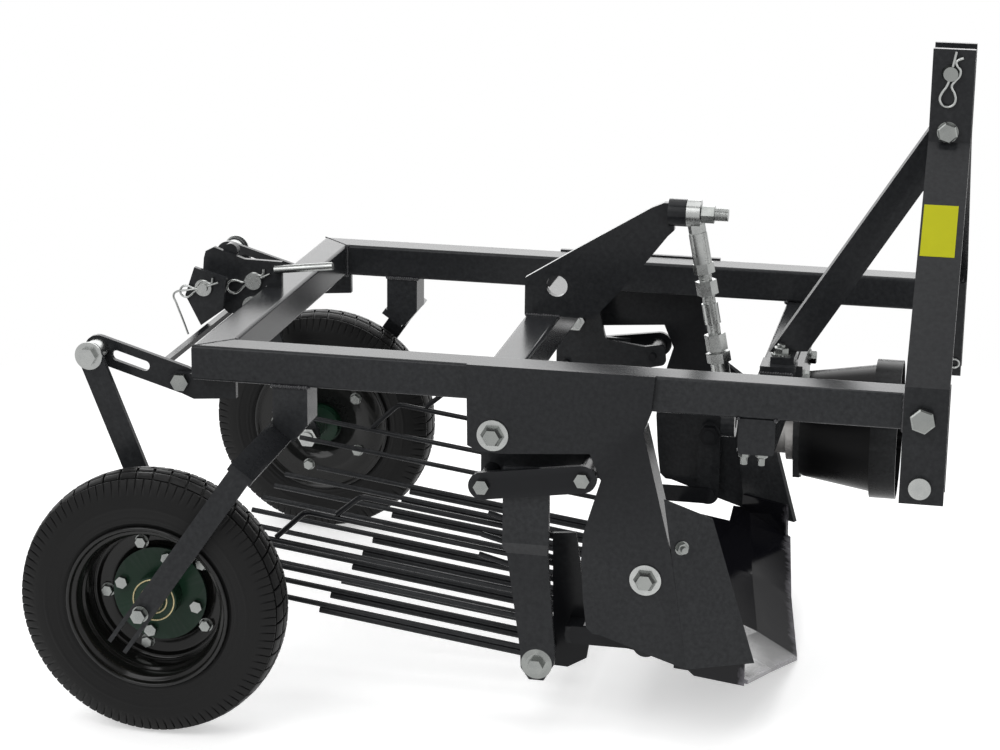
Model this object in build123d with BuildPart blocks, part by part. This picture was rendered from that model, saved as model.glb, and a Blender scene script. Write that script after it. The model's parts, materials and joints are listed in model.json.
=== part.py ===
"""Potato digger for a small tractor: share, shaken sieve, drive, two wheels and a three-point hitch.

X runs forward, Y to the machine's left and Z up, in millimetres. The origin is on the ground, midway
between the rearmost and foremost points. Side profiles are drawn from the frame's rear top edge.
"""
import os
from math import atan2, cos, degrees, hypot, radians, sin

from build123d import *

os.makedirs("parts", exist_ok=True)

# Frame of square tube
frame_width = 698
frame_length = 1040
tube = 50
tube_wall = 3
tube_corner = 5
cross_x = 767
drain_radius = 4
seat_gap = 0.3

# Wheels
wheel_od = 380
tyre_width = 78
wheel_x = -28
wheel_reach = 98
axle_drop = 342
rim_radius = 114
rim_width = 70
axle_radius = 10
running_fit = 0.05

# Hitch
hitch_set = 24.5
hitch_bar = 59
hitch_plate = 10
hitch_foot = -149
lean_start = 8
lean_end = 276
mast_top = 412
mast_gap = 50
lower_pin_set = 2.5
lower_pin_z = -125
lower_pin_radius = 11
lug_plate = 10
mast_set = 3.5
top_pin_z = 378
top_pin_radius = 9.5
mast_bolt_z = 295
mast_bolt_radius = 8

# Side plates, wings and share
side_sheet = 8
fold_depth = 47
wing_sheet = 8
wing_toe = 28.3
share_sheet = 6
share_notch_x = 690

# Shaking drive
rocker_x = 432
rocker_z = -96
pivot_radius = 10
rocker_tube_x = 410
rocker_tube_top = -12
rocker_gap = 7
rocker_sheet = 8
lever_sheet = 12
crank_throw = 14
eye_x = 656
eye_z = 154
eye_half = 10
eye_pin_radius = 9
eye_play = 0.8
shaft_z = -156
shaft_radius = 15
big_end_x = 718
crank_gap = 6
big_end_half = 10

# Legs, straps and sieve
strap_rear = (419, -168)
strap_front = (559, -148)
leg_foot = (499.5, -423)
leg_sheet = 8
leg_joggle = 8
strap_width = 39
strap_bolt_radius = 6
bar_radius = 4
under_radius = 5
sieve_gap = 23
sieve_slope = 7.5
sieve_pitch = 61.5
sieve_front = 533
sieve_rear = 3
sieve_floor = -380
sieve_floor_at = 35

# Front hangers
hanger_pivot = (648.5, -288)
hanger_foot = (648.5, -390)
hanger_gap = 7
hanger_sheet = 8
sieve_sheet = 6

# Wheel arms and rear stays
post_x = 117
arm_reach = 48
arm_sheet = 10
arm_width = 32
arm_top = (120, -127)
slot_pivot = (-27, -63)
bush = (-152, -26)
slot_sheet = 8
slot_width = 15
stay_inset = 12
stay_sheet = 8
stay_width = 35
bush_radius = 16

# Power shaft and its guard
shaft_plate_sheet = 10
guard_rear_radius = 77
guard_step_radius = 93.5
guard_front_radius = 102
guard_length = 141
guard_lip = 38
guard_wall = 4
housing_radius = 46
housing_length = 36
housing_flange = 55
spline_x = 858
spline_radius = 17.4
spline_length = 72
crank_radius = 38
crank_sheet = 12
crank_pin_radius = 8
crank_pin_length = 11

# Bolts and washers: across corners, thickness of a washer, height of a head
washer = 3
big_washer_radius = 22
pivot_head_radius = 17
pivot_head = 12
small_head_radius = 11
small_head = 8
collar_radius = 15
collar = 12

# Places worked out from the sizes above
hitch_x = frame_length - hitch_set
lower_pin_x = hitch_x - lower_pin_set
mast_x = hitch_x - mast_set
half_width = frame_width / 2
rail_inner = half_width - tube
side_y = half_width + side_sheet
leg_y = side_y + leg_joggle
wheel_y = half_width + wheel_reach
arm_y = wheel_y + arm_reach
rocker_end_y = rail_inner - rocker_gap
sieve_half = rail_inner - sieve_gap
sieve_plate_y = sieve_half + bar_radius + 0.2
hanger_y = half_width - hanger_gap - hanger_sheet
arm_flat_y = hanger_y - sieve_sheet
stay_y = half_width - stay_inset
shaft_plate_x = cross_x + tube
rear_reach = wheel_x - wheel_od / 2
front_reach = hitch_x + hitch_bar / 2
datum_x = -(rear_reach + front_reach) / 2
deck_z = axle_drop + wheel_od / 2


def side(y):
    """Upright fore-and-aft plane at y; its sketches are extruded towards the right-hand side."""
    return Plane(origin=(datum_x, y, deck_z), x_dir=(1, 0, 0), z_dir=(0, -1, 0))


def across(x):
    """Upright plane across the machine at x; its sketches are extruded forwards."""
    return Plane(origin=(datum_x + x, 0, deck_z), x_dir=(0, 1, 0), z_dir=(1, 0, 0))


def level(z):
    """Level plane at the height z above the frame's top."""
    return Plane(origin=(datum_x, 0, deck_z + z), x_dir=(1, 0, 0), z_dir=(0, 0, 1))


def box(x, y, z):
    """Plain block in the open part between three pairs of limits."""
    with BuildSketch(level(z[0])) as profile:
        with Locations(((x[0] + x[1]) / 2, (y[0] + y[1]) / 2)):
            Rectangle(x[1] - x[0], y[1] - y[0])
    extrude(profile.sketch, amount=z[1] - z[0])


def plate(points, y, thickness, holes=(), corner=0.0):
    """Side plate with its outer face at y on the right; holes are (x, z, radius)."""
    with BuildSketch(side(-y + thickness)) as profile:
        with BuildLine():
            Polyline(*points, close=True)
        make_face()
        if corner:
            fillet(vertices(), corner)
        for x, z, radius in holes:
            with Locations((x, z)):
                Circle(radius, mode=Mode.SUBTRACT)
    extrude(profile.sketch, amount=thickness)


def link(start, end, width, y, thickness, holes=()):
    """Flat bar with round ends between two points of the side view."""
    length = hypot(end[0] - start[0], end[1] - start[1])
    turn = degrees(atan2(end[1] - start[1], end[0] - start[0]))
    with BuildSketch(side(-y + thickness)) as profile:
        with Locations(Location(((start[0] + end[0]) / 2, (start[1] + end[1]) / 2), turn)):
            SlotCenterToCenter(length, width)
        for x, z, radius in holes:
            with Locations((x, z)):
                Circle(radius, mode=Mode.SUBTRACT)
    extrude(profile.sketch, amount=thickness)


def pin(x, z, radius, near, far):
    """Round pin across the machine's right-hand side between two distances from the middle."""
    with BuildSketch(side(-near)) as profile:
        with Locations((x, z)):
            Circle(radius)
    extrude(profile.sketch, amount=far - near)


def nut(x, z, radius, near, far):
    """Hexagon head or nut across the right-hand side between two distances from the middle."""
    with BuildSketch(side(-near)) as profile:
        with Locations((x, z)):
            RegularPolygon(radius, 6)
    extrude(profile.sketch, amount=far - near)


def tube_section(width, wall, corner):
    """Square tube's section, filleted outside and inside."""
    RectangleRounded(width, width, corner)
    RectangleRounded(width - 2 * wall, width - 2 * wall, corner - wall, mode=Mode.SUBTRACT)


def left_copy(right):
    """The same piece on the left-hand side."""
    with BuildPart() as left:
        mirror(right.part, about=Plane.XZ)
    return left


def both_sides(right):
    """A right-hand piece and its left-hand copy in one node."""
    with BuildPart() as both:
        add(right.part)
        mirror(right.part, about=Plane.XZ)
    return both


pieces = {}

# Frame: a rear beam mitred to two rails, and a cross tube under them
mitre = Plane(origin=(datum_x, -half_width, 0), x_dir=(1, 1, 0), z_dir=(1, -1, 0))

with BuildPart() as rail_right:
    with BuildSketch(across(0)):
        with Locations((-half_width + tube / 2, -tube / 2)):
            tube_section(tube, tube_wall, tube_corner)
    extrude(amount=frame_length)
    split(bisect_by=mitre, keep=Keep.TOP)
rail_left = left_copy(rail_right)

with BuildPart() as rear_beam:
    with BuildSketch(side(half_width)):
        with Locations((tube / 2, -tube / 2)):
            tube_section(tube, tube_wall, tube_corner)
    extrude(amount=frame_width)
    split(bisect_by=mitre, keep=Keep.BOTTOM)
    split(bisect_by=Plane(origin=(datum_x, half_width, 0), x_dir=(1, -1, 0), z_dir=(-1, -1, 0)), keep=Keep.TOP)

with BuildPart() as cross_tube:
    with BuildSketch(side(half_width)):
        with Locations((cross_x + tube / 2, -1.5 * tube)):
            tube_section(tube, tube_wall, tube_corner)
    extrude(amount=frame_width)
    for y in (half_width, tube_wall - half_width):
        with BuildSketch(side(y)):
            with Locations((cross_x + tube / 2, -1.5 * tube)):
                RectangleRounded(tube, tube, tube_corner)
        extrude(amount=tube_wall)
    with BuildSketch(level(-2 * tube)):
        with Locations((cross_x + tube / 2, rail_inner)):
            Circle(drain_radius)
    extrude(amount=2 * tube_wall, mode=Mode.SUBTRACT)

pieces["rear_beam"] = rear_beam
pieces["rail_right"] = rail_right
pieces["rail_left"] = rail_left
pieces["cross_tube"] = cross_tube

# Side plates: sheet with a notch for the strap and a front edge folded inwards
fold_top = (640, -77)
front_top = (683, -250)
front_low = (709, -415)
side_outline = [
    (394, 2), (654, 2), (649.5, -50), fold_top, front_top, front_low, (658, -399), (608, -382), (587, -375),
    (576, -374), (567, -365), (562, -325), (558, -267), (560, -229), (583, -150), (567, -113), (444, -122),
    (410, -120), (396, -113),
]
fold_run = hypot(front_top[0] - fold_top[0], front_top[1] - fold_top[1])
fold_lean = atan2(front_top[1] - fold_top[1], front_top[0] - fold_top[0])

with BuildPart() as side_plate_right:
    plate(side_outline, side_y, side_sheet, [
        (rocker_x, rocker_z, pivot_radius + running_fit),
        (hanger_pivot[0], hanger_pivot[1], pivot_radius + running_fit),
    ])
    with BuildSketch(Plane(
        origin=(datum_x + fold_top[0], -half_width, deck_z + fold_top[1]),
        x_dir=(cos(fold_lean), 0, sin(fold_lean)), z_dir=(-sin(fold_lean), 0, cos(fold_lean)),
    )):
        Rectangle(fold_run, fold_depth - side_sheet, align=(Align.MIN, Align.MIN))
    extrude(amount=-side_sheet)
side_plate_left = left_copy(side_plate_right)
pieces["side_plate_right"] = side_plate_right
pieces["side_plate_left"] = side_plate_left

# Wings: flat plates toed in from the side plates' front edges; their outlines are given as seen from the side
front_edge = Vector(front_low[0] - front_top[0], 0, front_low[1] - front_top[1])
wing_level = Vector(cos(radians(wing_toe)), sin(radians(wing_toe)), 0)
wing_plane = Plane(
    origin=(datum_x + front_top[0], -side_y, deck_z + front_top[1]),
    x_dir=wing_level, z_dir=front_edge.cross(wing_level),
)


def on_wing(x, z):
    """Point of the wing's plane that shows at x and z from the side, in the plane's own directions."""
    outward = wing_plane.z_dir
    y = -(outward.X * (x - front_top[0]) + outward.Z * (z - front_top[1])) / outward.Y
    step = Vector(x - front_top[0], y, z - front_top[1])
    return (step.dot(wing_plane.x_dir), step.dot(wing_plane.y_dir))


wing_outline = [(671, -170), (735, -204), (798, -416), front_low]
with BuildPart() as share_cheek_right:
    with BuildSketch(wing_plane):
        with BuildLine():
            Polyline(*[on_wing(x, z) for x, z in wing_outline], close=True)
        make_face()
    extrude(amount=-wing_sheet)
    split(bisect_by=Plane(origin=wing_plane.origin, z_dir=front_edge.cross(Vector(0, 1, 0))), keep=Keep.TOP)
share_cheek_left = left_copy(share_cheek_right)
pieces["share_cheek_right"] = share_cheek_right
pieces["share_cheek_left"] = share_cheek_left

# Share: a trough with a steeper blade in front, as rows of (distance from the middle, lip, knee, rear edge)
share_rows = [
    (0, (833, -532), (771, -497), (606, -428)),
    (150, (808, -493), (745, -461), (603, -420)),
    (302, (790, -451), (724, -432), (600, -412)),
    (half_width - seat_gap, (785, -437), (717, -420), (599, -410)),
]
share_end = [(712, -388), (712, -417), (722, -428), (789, -451), (788, -388)]
with BuildPart() as share:
    for inner, outer in zip(share_rows, share_rows[1:]):
        for y, lip, knee, rear in (inner, outer):
            with BuildSketch(side(-y)):
                with BuildLine():
                    under = [rear, knee, lip]
                    Polyline(*under, *[(x, z + share_sheet) for x, z in reversed(under)], close=True)
                make_face()
        loft()
    split(bisect_by=wing_plane.offset(-wing_sheet), keep=Keep.BOTTOM)
    with BuildSketch(level(-2 * axle_drop)):
        with Locations((share_notch_x, -rail_inner)):
            Rectangle(frame_length, tube, align=(Align.MAX, Align.MAX))
    extrude(amount=2 * axle_drop, mode=Mode.SUBTRACT)
    with BuildSketch(wing_plane.offset(-wing_sheet)):
        with BuildLine():
            Polyline(*[on_wing(x, z) for x, z in share_end], close=True)
        make_face()
    extrude(amount=-share_sheet)
    mirror(about=Plane.XZ)
pieces["share"] = share

# Hitch: outer flats that lean in to a mast, inner lugs, pins and the mast brace
with BuildPart() as hitch_plate_right:
    with BuildSketch(across(hitch_x - hitch_bar / 2)):
        with BuildLine():
            bend = Polyline(
                (-half_width, hitch_foot), (-half_width, lean_start),
                (-mast_gap / 2, lean_end), (-mast_gap / 2, mast_top),
            )
            offset(bend, amount=hitch_plate, side=Side.LEFT, kind=Kind.INTERSECTION)
        make_face()
    extrude(amount=hitch_bar)
    for x, z, radius in (
        (mast_x, top_pin_z, top_pin_radius), (mast_x, mast_bolt_z, mast_bolt_radius),
        (lower_pin_x, lower_pin_z, lower_pin_radius),
    ):
        with BuildSketch(side(0)):
            with Locations((x, z)):
                Circle(radius + running_fit)
        extrude(amount=frame_width, mode=Mode.SUBTRACT)
hitch_plate_left = left_copy(hitch_plate_right)
pieces["hitch_plate_right"] = hitch_plate_right
pieces["hitch_plate_left"] = hitch_plate_left

with BuildPart() as hitch_lug:
    plate(
        [(hitch_x - hitch_bar / 2, hitch_foot), (hitch_x + hitch_bar / 2, hitch_foot),
         (hitch_x + hitch_bar / 2, 0), (hitch_x - hitch_bar / 2, 0)],
        rail_inner, lug_plate, [(lower_pin_x, lower_pin_z, lower_pin_radius + running_fit)],
    )
pieces["hitch_lugs"] = both_sides(hitch_lug)

with BuildPart() as lower_pin:
    pin(lower_pin_x, lower_pin_z, lower_pin_radius, rail_inner - lug_plate - 22, half_width + hitch_plate)
    pin(lower_pin_x, lower_pin_z, 15, half_width + hitch_plate, half_width + hitch_plate + 8)
pieces["lower_hitch_pins"] = both_sides(lower_pin)

with BuildPart() as mast_pins:
    for z, radius, head in ((top_pin_z, top_pin_radius, 13), (mast_bolt_z, mast_bolt_radius, 12)):
        outer = mast_gap / 2 + hitch_plate
        pin(mast_x, z, radius, -outer - 14, outer)
        pin(mast_x, z, head, outer, outer + 9)
pieces["mast_pins"] = mast_pins

# Mast brace: a flat on edge from the mast bolt down to a bent foot, bolted to a plate on the cross tube
brace_foot = (807, -62)
brace_width = 46
brace_sheet = 10
brace_end_reach = 12
brace_root = 40
base_inset = 3
base_reach = 56
base_overlap = 8
with BuildPart() as brace_base:
    box((cross_x + base_inset, cross_x + tube + base_inset), (brace_foot[1] - base_reach, brace_foot[1] - base_overlap),
        (-tube, -tube + brace_sheet))
pieces["brace_base"] = brace_base

brace_start = Vector(datum_x + brace_foot[0], brace_foot[1], deck_z - tube + 2.4 * brace_sheet)
brace_end = Vector(datum_x + mast_x, 0, deck_z + mast_bolt_z)
brace_run = brace_end - brace_start
brace_side = brace_run.cross(Vector(0, 0, 1))
with BuildPart() as mast_brace:
    with BuildSketch(Plane(origin=brace_start, x_dir=brace_run, z_dir=brace_side).offset(-brace_sheet / 2)):
        with Locations((-brace_root, 0)):
            brace_length = brace_run.length + brace_root + brace_end_reach
            Rectangle(brace_length, brace_width, align=(Align.MIN, Align.CENTER))
    extrude(amount=brace_sheet)
    split(bisect_by=level(-tube + 2 * brace_sheet), keep=Keep.TOP)
    box((brace_foot[0] - 24, brace_foot[0] + 10), (brace_foot[1] - 40, brace_foot[1] + brace_sheet / 2),
        (-tube + brace_sheet, -tube + 2 * brace_sheet))
    with BuildSketch(side(mast_gap / 2)):
        with Locations((mast_x, mast_bolt_z)):
            Circle(mast_bolt_radius + running_fit)
    extrude(amount=mast_gap, mode=Mode.SUBTRACT)
pieces["mast_brace"] = mast_brace

# Power shaft: a plate under the cross tube carries the bearing behind and the guard in front
plate_half = 70
plate_foot_half = 40
plate_drop = 72
plate_clearance = 3
with BuildPart() as shaft_plate:
    with BuildSketch(across(shaft_plate_x)):
        with BuildLine():
            Polyline(
                (-plate_half, -tube), (plate_half, -tube), (plate_half, shaft_z),
                (plate_foot_half, shaft_z - plate_drop), (-plate_foot_half, shaft_z - plate_drop),
                (-plate_half, shaft_z), close=True,
            )
        make_face()
        with Locations((0, shaft_z)):
            Circle(shaft_radius + plate_clearance, mode=Mode.SUBTRACT)
    extrude(amount=shaft_plate_sheet)
pieces["shaft_plate"] = shaft_plate

with BuildPart() as bearing_housing:
    for depth, radius in ((housing_length, housing_radius), (housing_length / 3, housing_flange)):
        with BuildSketch(across(shaft_plate_x - depth)):
            with Locations((0, shaft_z)):
                Circle(radius)
        extrude(amount=depth)
    with BuildSketch(across(shaft_plate_x - housing_length)):
        with Locations((0, shaft_z)):
            Circle(shaft_radius + running_fit)
    extrude(amount=housing_length, mode=Mode.SUBTRACT)
pieces["bearing_housing"] = bearing_housing

guard_rear_x = shaft_plate_x + shaft_plate_sheet
guard_front_x = guard_rear_x + guard_length
guard_step_x = guard_front_x - guard_lip
guard_skin = [
    (guard_rear_x, guard_rear_radius), (guard_step_x, guard_step_radius),
    (guard_step_x, guard_front_radius), (guard_front_x, guard_front_radius),
]
guard_lining = [
    (guard_front_x, guard_front_radius - guard_wall),
    (guard_step_x + guard_wall, guard_front_radius - guard_wall),
    (guard_step_x + guard_wall, guard_step_radius - guard_wall),
    (guard_rear_x, guard_rear_radius - guard_wall),
]
with BuildPart() as pto_guard:
    with BuildSketch(level(shaft_z)):
        with BuildLine():
            Polyline(*guard_skin, *guard_lining, close=True)
        make_face()
    revolve(axis=Axis((datum_x, 0, deck_z + shaft_z), (1, 0, 0)))
pieces["pto_guard"] = pto_guard

crank_face_x = big_end_x + big_end_half + crank_gap + crank_pin_length
with BuildPart() as drive_shaft:
    with BuildSketch(across(crank_face_x + crank_sheet)):
        with Locations((0, shaft_z)):
            Circle(shaft_radius)
    extrude(amount=spline_x - crank_face_x - crank_sheet)
    with BuildSketch(across(spline_x)):
        with Locations((0, shaft_z)):
            Circle(spline_radius)
    extrude(amount=spline_length)
pieces["drive_shaft"] = drive_shaft

with BuildPart() as crank_disc:
    with BuildSketch(across(crank_face_x)):
        with Locations((0, shaft_z)):
            Circle(crank_radius)
    extrude(amount=crank_sheet)
    with BuildSketch(across(crank_face_x - crank_pin_length)):
        with Locations((-crank_throw, shaft_z)):
            Circle(crank_pin_radius)
    extrude(amount=crank_pin_length)
pieces["crank_disc"] = crank_disc

# Rocker: a square tube between two end plates, turning on a bolt in each side plate
with BuildPart() as rocker_tube:
    with BuildSketch(side(rocker_end_y - rocker_sheet)):
        with Locations((rocker_tube_x + tube / 2, rocker_tube_top - tube / 2)):
            tube_section(tube, tube_wall, tube_corner)
    extrude(amount=2 * (rocker_end_y - rocker_sheet))
pieces["rocker_tube"] = rocker_tube

rocker_end_outline = [
    (405, -6), (465, -6), (468, -70), (482, -126), (545, -134), (577, -128), (580, -162), (545, -170),
    (438, -188), (402, -188), (402, -96),
]
with BuildPart() as rocker_end:
    plate(rocker_end_outline, rocker_end_y, rocker_sheet, [
        (rocker_x, rocker_z, pivot_radius + running_fit),
        (strap_rear[0], strap_rear[1], strap_bolt_radius + running_fit),
        (strap_front[0], strap_front[1], strap_bolt_radius + running_fit),
    ], corner=8)
pieces["rocker_ends"] = both_sides(rocker_end)

with BuildPart() as rocker_bolt:
    rocker_inner = rocker_end_y - rocker_sheet
    pin(rocker_x, rocker_z, pivot_radius, rocker_inner - collar - 2, side_y + washer)
    nut(rocker_x, rocker_z, pivot_head_radius, rocker_inner - collar, rocker_inner - seat_gap)
    pin(rocker_x, rocker_z, collar_radius, rocker_end_y + seat_gap, half_width)
    pin(rocker_x, rocker_z, big_washer_radius, side_y, side_y + washer)
    nut(rocker_x, rocker_z, pivot_head_radius, side_y + washer, side_y + washer + pivot_head)
pieces["rocker_bolts"] = both_sides(rocker_bolt)

# The lever stands on the rocker's tube; its boss carries the pin of the rod's eye
lever_outline = [
    (408, rocker_tube_top), (408, 44), (427, 56), (479, 89), (594, 160), (612, 168), (626, 168), (628, 128),
    (619, 119), (585, 74), (547, 28), (512, rocker_tube_top),
]
lever_hole = (456, 34, 16)
lever_boss_radius = 20
lever_boss = 26
eye_nut_radius = 14
eye_nut = 19
eye_thread = 20
with BuildPart() as lever_plate:
    plate(lever_outline, crank_throw + lever_sheet / 2, lever_sheet, [lever_hole])
    for start, end, radius in (
        (-eye_half - eye_play - lever_boss, -eye_half - eye_play, lever_boss_radius),
        (-eye_half - eye_play, eye_half + eye_play + eye_nut + eye_thread, eye_pin_radius),
    ):
        with BuildSketch(across(eye_x + start)):
            with Locations((-crank_throw, eye_z)):
                Circle(radius)
        extrude(amount=end - start)
    with BuildSketch(across(eye_x + eye_half + eye_play)):
        with Locations((-crank_throw, eye_z)):
            RegularPolygon(eye_nut_radius, 6)
    extrude(amount=eye_nut)
pieces["lever_plate"] = lever_plate

# Legs: joggled flats that hang from the strap down to the sieve's pivot
leg_outline = [
    (447, -140), (512, -140), (512, -255), (525, -405), (524, -423), (510, -447), (489, -447), (477, -430),
    (476, -405), (455, -262), (447, -255),
]
joggle_top = -250
joggle_low = -262
with BuildPart() as rocker_leg_right:
    leg_rear, leg_front = min(x for x, z in leg_outline), max(x for x, z in leg_outline)
    leg_low, leg_high = min(z for x, z in leg_outline), max(z for x, z in leg_outline)
    with BuildSketch(across(leg_rear)):
        with BuildLine():
            Polyline(
                (-side_y, leg_high), (-side_y, joggle_top), (-leg_y, joggle_low), (-leg_y, leg_low),
                (leg_sheet - leg_y, leg_low), (leg_sheet - leg_y, joggle_low),
                (leg_sheet - side_y, joggle_top), (leg_sheet - side_y, leg_high), close=True,
            )
        make_face()
    extrude(amount=leg_front - leg_rear)
    with BuildSketch(side(leg_sheet - side_y)):
        with BuildLine():
            Polyline(*leg_outline, close=True)
        make_face()
        with Locations(leg_foot):
            Circle(pivot_radius + running_fit, mode=Mode.SUBTRACT)
    extrude(amount=leg_sheet + leg_joggle, mode=Mode.INTERSECT)
rocker_leg_left = left_copy(rocker_leg_right)
pieces["rocker_leg_right"] = rocker_leg_right
pieces["rocker_leg_left"] = rocker_leg_left

with BuildPart() as leg_strap:
    link(strap_rear, strap_front, strap_width, side_y + leg_sheet, leg_sheet)
    for x, z in (strap_rear, strap_front):
        pin(x, z, 2 * strap_bolt_radius, rocker_end_y, side_y)
        pin(x, z, strap_bolt_radius, rocker_end_y - rocker_sheet - collar, rocker_end_y)
        nut(x, z, small_head_radius, side_y + leg_sheet, side_y + leg_sheet + small_head)
pieces["leg_straps"] = both_sides(leg_strap)

# Drive rod from the eye down to the big end: round steps and hexagon nuts as (start, end, radius) along it
rod_drop = eye_z - shaft_z
rod_run = big_end_x - eye_x
rod_length = hypot(rod_drop, rod_run)
rod_lean = atan2(rod_run, rod_drop)
rod_radius = 9.5
eye_radius = 20
big_end_radius = 24
rod_steps = [(29, 75, 13.5), (135, 166, 12), (225, rod_length - eye_radius, 13.5)]
rod_nuts = [(16, 29, 13), (75, 90, 16), (101, 122, 16), (182, 207, 16), (210, 225, 18)]
rod_axis = Plane(
    origin=(datum_x + eye_x, -crank_throw, deck_z + eye_z),
    x_dir=(cos(rod_lean), 0, sin(rod_lean)), z_dir=(sin(rod_lean), 0, -cos(rod_lean)),
)
with BuildPart() as drive_rod:
    for start, end, radius in [(eye_radius - 4, rod_length - eye_radius, rod_radius)] + rod_steps:
        with BuildSketch(rod_axis.offset(start)):
            Circle(radius)
        extrude(amount=end - start)
    for start, end, radius in rod_nuts:
        with BuildSketch(rod_axis.offset(start)):
            RegularPolygon(radius, 6)
        extrude(amount=end - start)
    for x, z, radius, bore, half in (
        (eye_x, eye_z, eye_radius, eye_pin_radius + eye_play, eye_half),
        (big_end_x, shaft_z, big_end_radius, crank_pin_radius + washer, big_end_half),
    ):
        with BuildSketch(across(x - half)):
            with Locations((-crank_throw, z)):
                Circle(radius)
        extrude(amount=2 * half)
        with BuildSketch(across(x - 2 * half)):
            with Locations((-crank_throw, z)):
                Circle(bore)
        extrude(amount=4 * half, mode=Mode.SUBTRACT)
pieces["drive_rod"] = drive_rod

# Sieve: lengthwise bars in a frame of flats, hung on the legs' feet and the front hangers
slope = radians(sieve_slope)


def floor_height(x):
    """Height of the sieve's floor bars at x, from the frame's top."""
    return sieve_floor - (x - sieve_floor_at) * sin(slope) / cos(slope)


def straight_bar(y, start, end, radius=bar_radius):
    """Round bar at y between two points of the side view."""
    run = Vector(end[0] - start[0], 0, end[1] - start[1])
    with BuildSketch(Plane(
        origin=(datum_x + start[0], y, deck_z + start[1]), x_dir=(0, 1, 0), z_dir=run,
    )) as profile:
        Circle(radius)
    extrude(profile.sketch, amount=run.length)


def sloping_bar(y, rise, start, end, radius=bar_radius):
    """Round bar parallel to the floor and risen above it."""
    straight_bar(y, (start, floor_height(start) + rise), (end, floor_height(end) + rise), radius)


def hooked_bar(y, start, bend, end):
    """Wall bar that climbs from the row below at start to its own rise at bend; each is (x, rise)."""
    points = [(x, floor_height(x) + rise) for x, rise in (start, bend, end)]
    with BuildLine(side(y)) as path:
        FilletPolyline(*points, radius=hook_radius)
    with BuildSketch(Plane(origin=path.line @ 0, z_dir=path.line % 0)) as profile:
        Circle(bar_radius)
    sweep(profile.sketch, path=path.line)


# Rows of a wall bar as (rise, rear end), hooked rows as (start, bend) and short braces as (start, end)
wall_rows = [(0, sieve_rear), (46, sieve_rear - 29), (84, sieve_rear - 76)]
wall_hooks = [((98, 89), (142, 137)), ((188, 142), (224, 177))]
wall_braces = [((410, -237), (507, -264)), ((401, -270), (507, -297)), ((397, -300), (510, -330))]
hook_radius = 18
under_rear = 162
under_front = 500
under_sink = bar_radius + under_radius - 0.5
floor_bars = 8
with BuildPart() as sieve_bars:
    floor_at = [(step - (floor_bars - 1) / 2) * sieve_pitch for step in range(floor_bars)]
    for y in floor_at:
        sloping_bar(y, 0, sieve_rear - 37, sieve_front)
    corner_y = sieve_half + bar_radius - under_radius
    for y in [-corner_y] + floor_at + [corner_y]:
        sloping_bar(y, -under_sink, under_rear, under_front, under_radius)
    for y in (-sieve_half, sieve_half):
        for rise, rear in wall_rows:
            sloping_bar(y, rise, rear, sieve_front)
        for start, bend in wall_hooks:
            hooked_bar(y, start, bend, (sieve_front, bend[1]))
        for start, end in wall_braces:
            straight_bar(y, start, end)
pieces["sieve_bars"] = sieve_bars

frame_outline = [
    (505, -256), (538, -253), (541, -271), (561, -412), (557, -440), (530, -456), (480, -454), (480, -404),
    (508, -396),
]
arm_root = 545
arm_block = 24
cross_flat_width = 32
cross_flat_x = 519
cross_flat = (cross_flat_x, floor_height(cross_flat_x) - bar_radius - sieve_sheet / 2 - 0.2)
with BuildPart() as sieve_side:
    plate(frame_outline, sieve_plate_y + sieve_sheet, sieve_sheet)
    pin(leg_foot[0], leg_foot[1], 14, sieve_plate_y + sieve_sheet, side_y - seat_gap)
    pin(leg_foot[0], leg_foot[1], pivot_radius, side_y - seat_gap, leg_y + seat_gap)
    pin(leg_foot[0], leg_foot[1], big_washer_radius, leg_y + seat_gap, leg_y + seat_gap + washer)
    nut(leg_foot[0], leg_foot[1], pivot_head_radius, leg_y + seat_gap + washer, leg_y + washer + pivot_head)
    with BuildSketch(side(-sieve_plate_y - sieve_sheet)):
        with Locations((arm_root, hanger_foot[1])):
            Rectangle(arm_block, arm_block)
    extrude(amount=arm_flat_y - sieve_plate_y - sieve_sheet)
    link((arm_root, hanger_foot[1]), hanger_foot, arm_block + 2, arm_flat_y, sieve_sheet)
    pin(hanger_foot[0], hanger_foot[1], pivot_radius - 3, arm_flat_y, hanger_y + hanger_sheet)
with BuildPart() as sieve_frame:
    add(sieve_side.part)
    mirror(sieve_side.part, about=Plane.XZ)
    with BuildSketch(side(sieve_plate_y)):
        with Locations(Location(cross_flat, -sieve_slope)):
            Rectangle(cross_flat_width, sieve_sheet)
    extrude(amount=2 * sieve_plate_y)
pieces["sieve_frame"] = sieve_frame

# Front hangers between the side plates and the sieve
with BuildPart() as hanger_right:
    link(hanger_pivot, hanger_foot, 36, hanger_y + hanger_sheet, hanger_sheet, [
        (hanger_pivot[0], hanger_pivot[1], pivot_radius + running_fit),
        (hanger_foot[0], hanger_foot[1], pivot_radius),
    ])
hanger_left = left_copy(hanger_right)
pieces["hanger_right"] = hanger_right
pieces["hanger_left"] = hanger_left

with BuildPart() as hanger_bolt:
    x, z = hanger_pivot
    pin(x, z, pivot_radius, hanger_y - collar - 2, side_y + washer)
    nut(x, z, pivot_head_radius, hanger_y - collar, hanger_y - seat_gap)
    pin(x, z, collar_radius, hanger_y + hanger_sheet + seat_gap, half_width)
    pin(x, z, big_washer_radius, side_y, side_y + washer)
    nut(x, z, pivot_head_radius, side_y + washer, side_y + washer + pivot_head)
pieces["hanger_bolts"] = both_sides(hanger_bolt)

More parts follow.
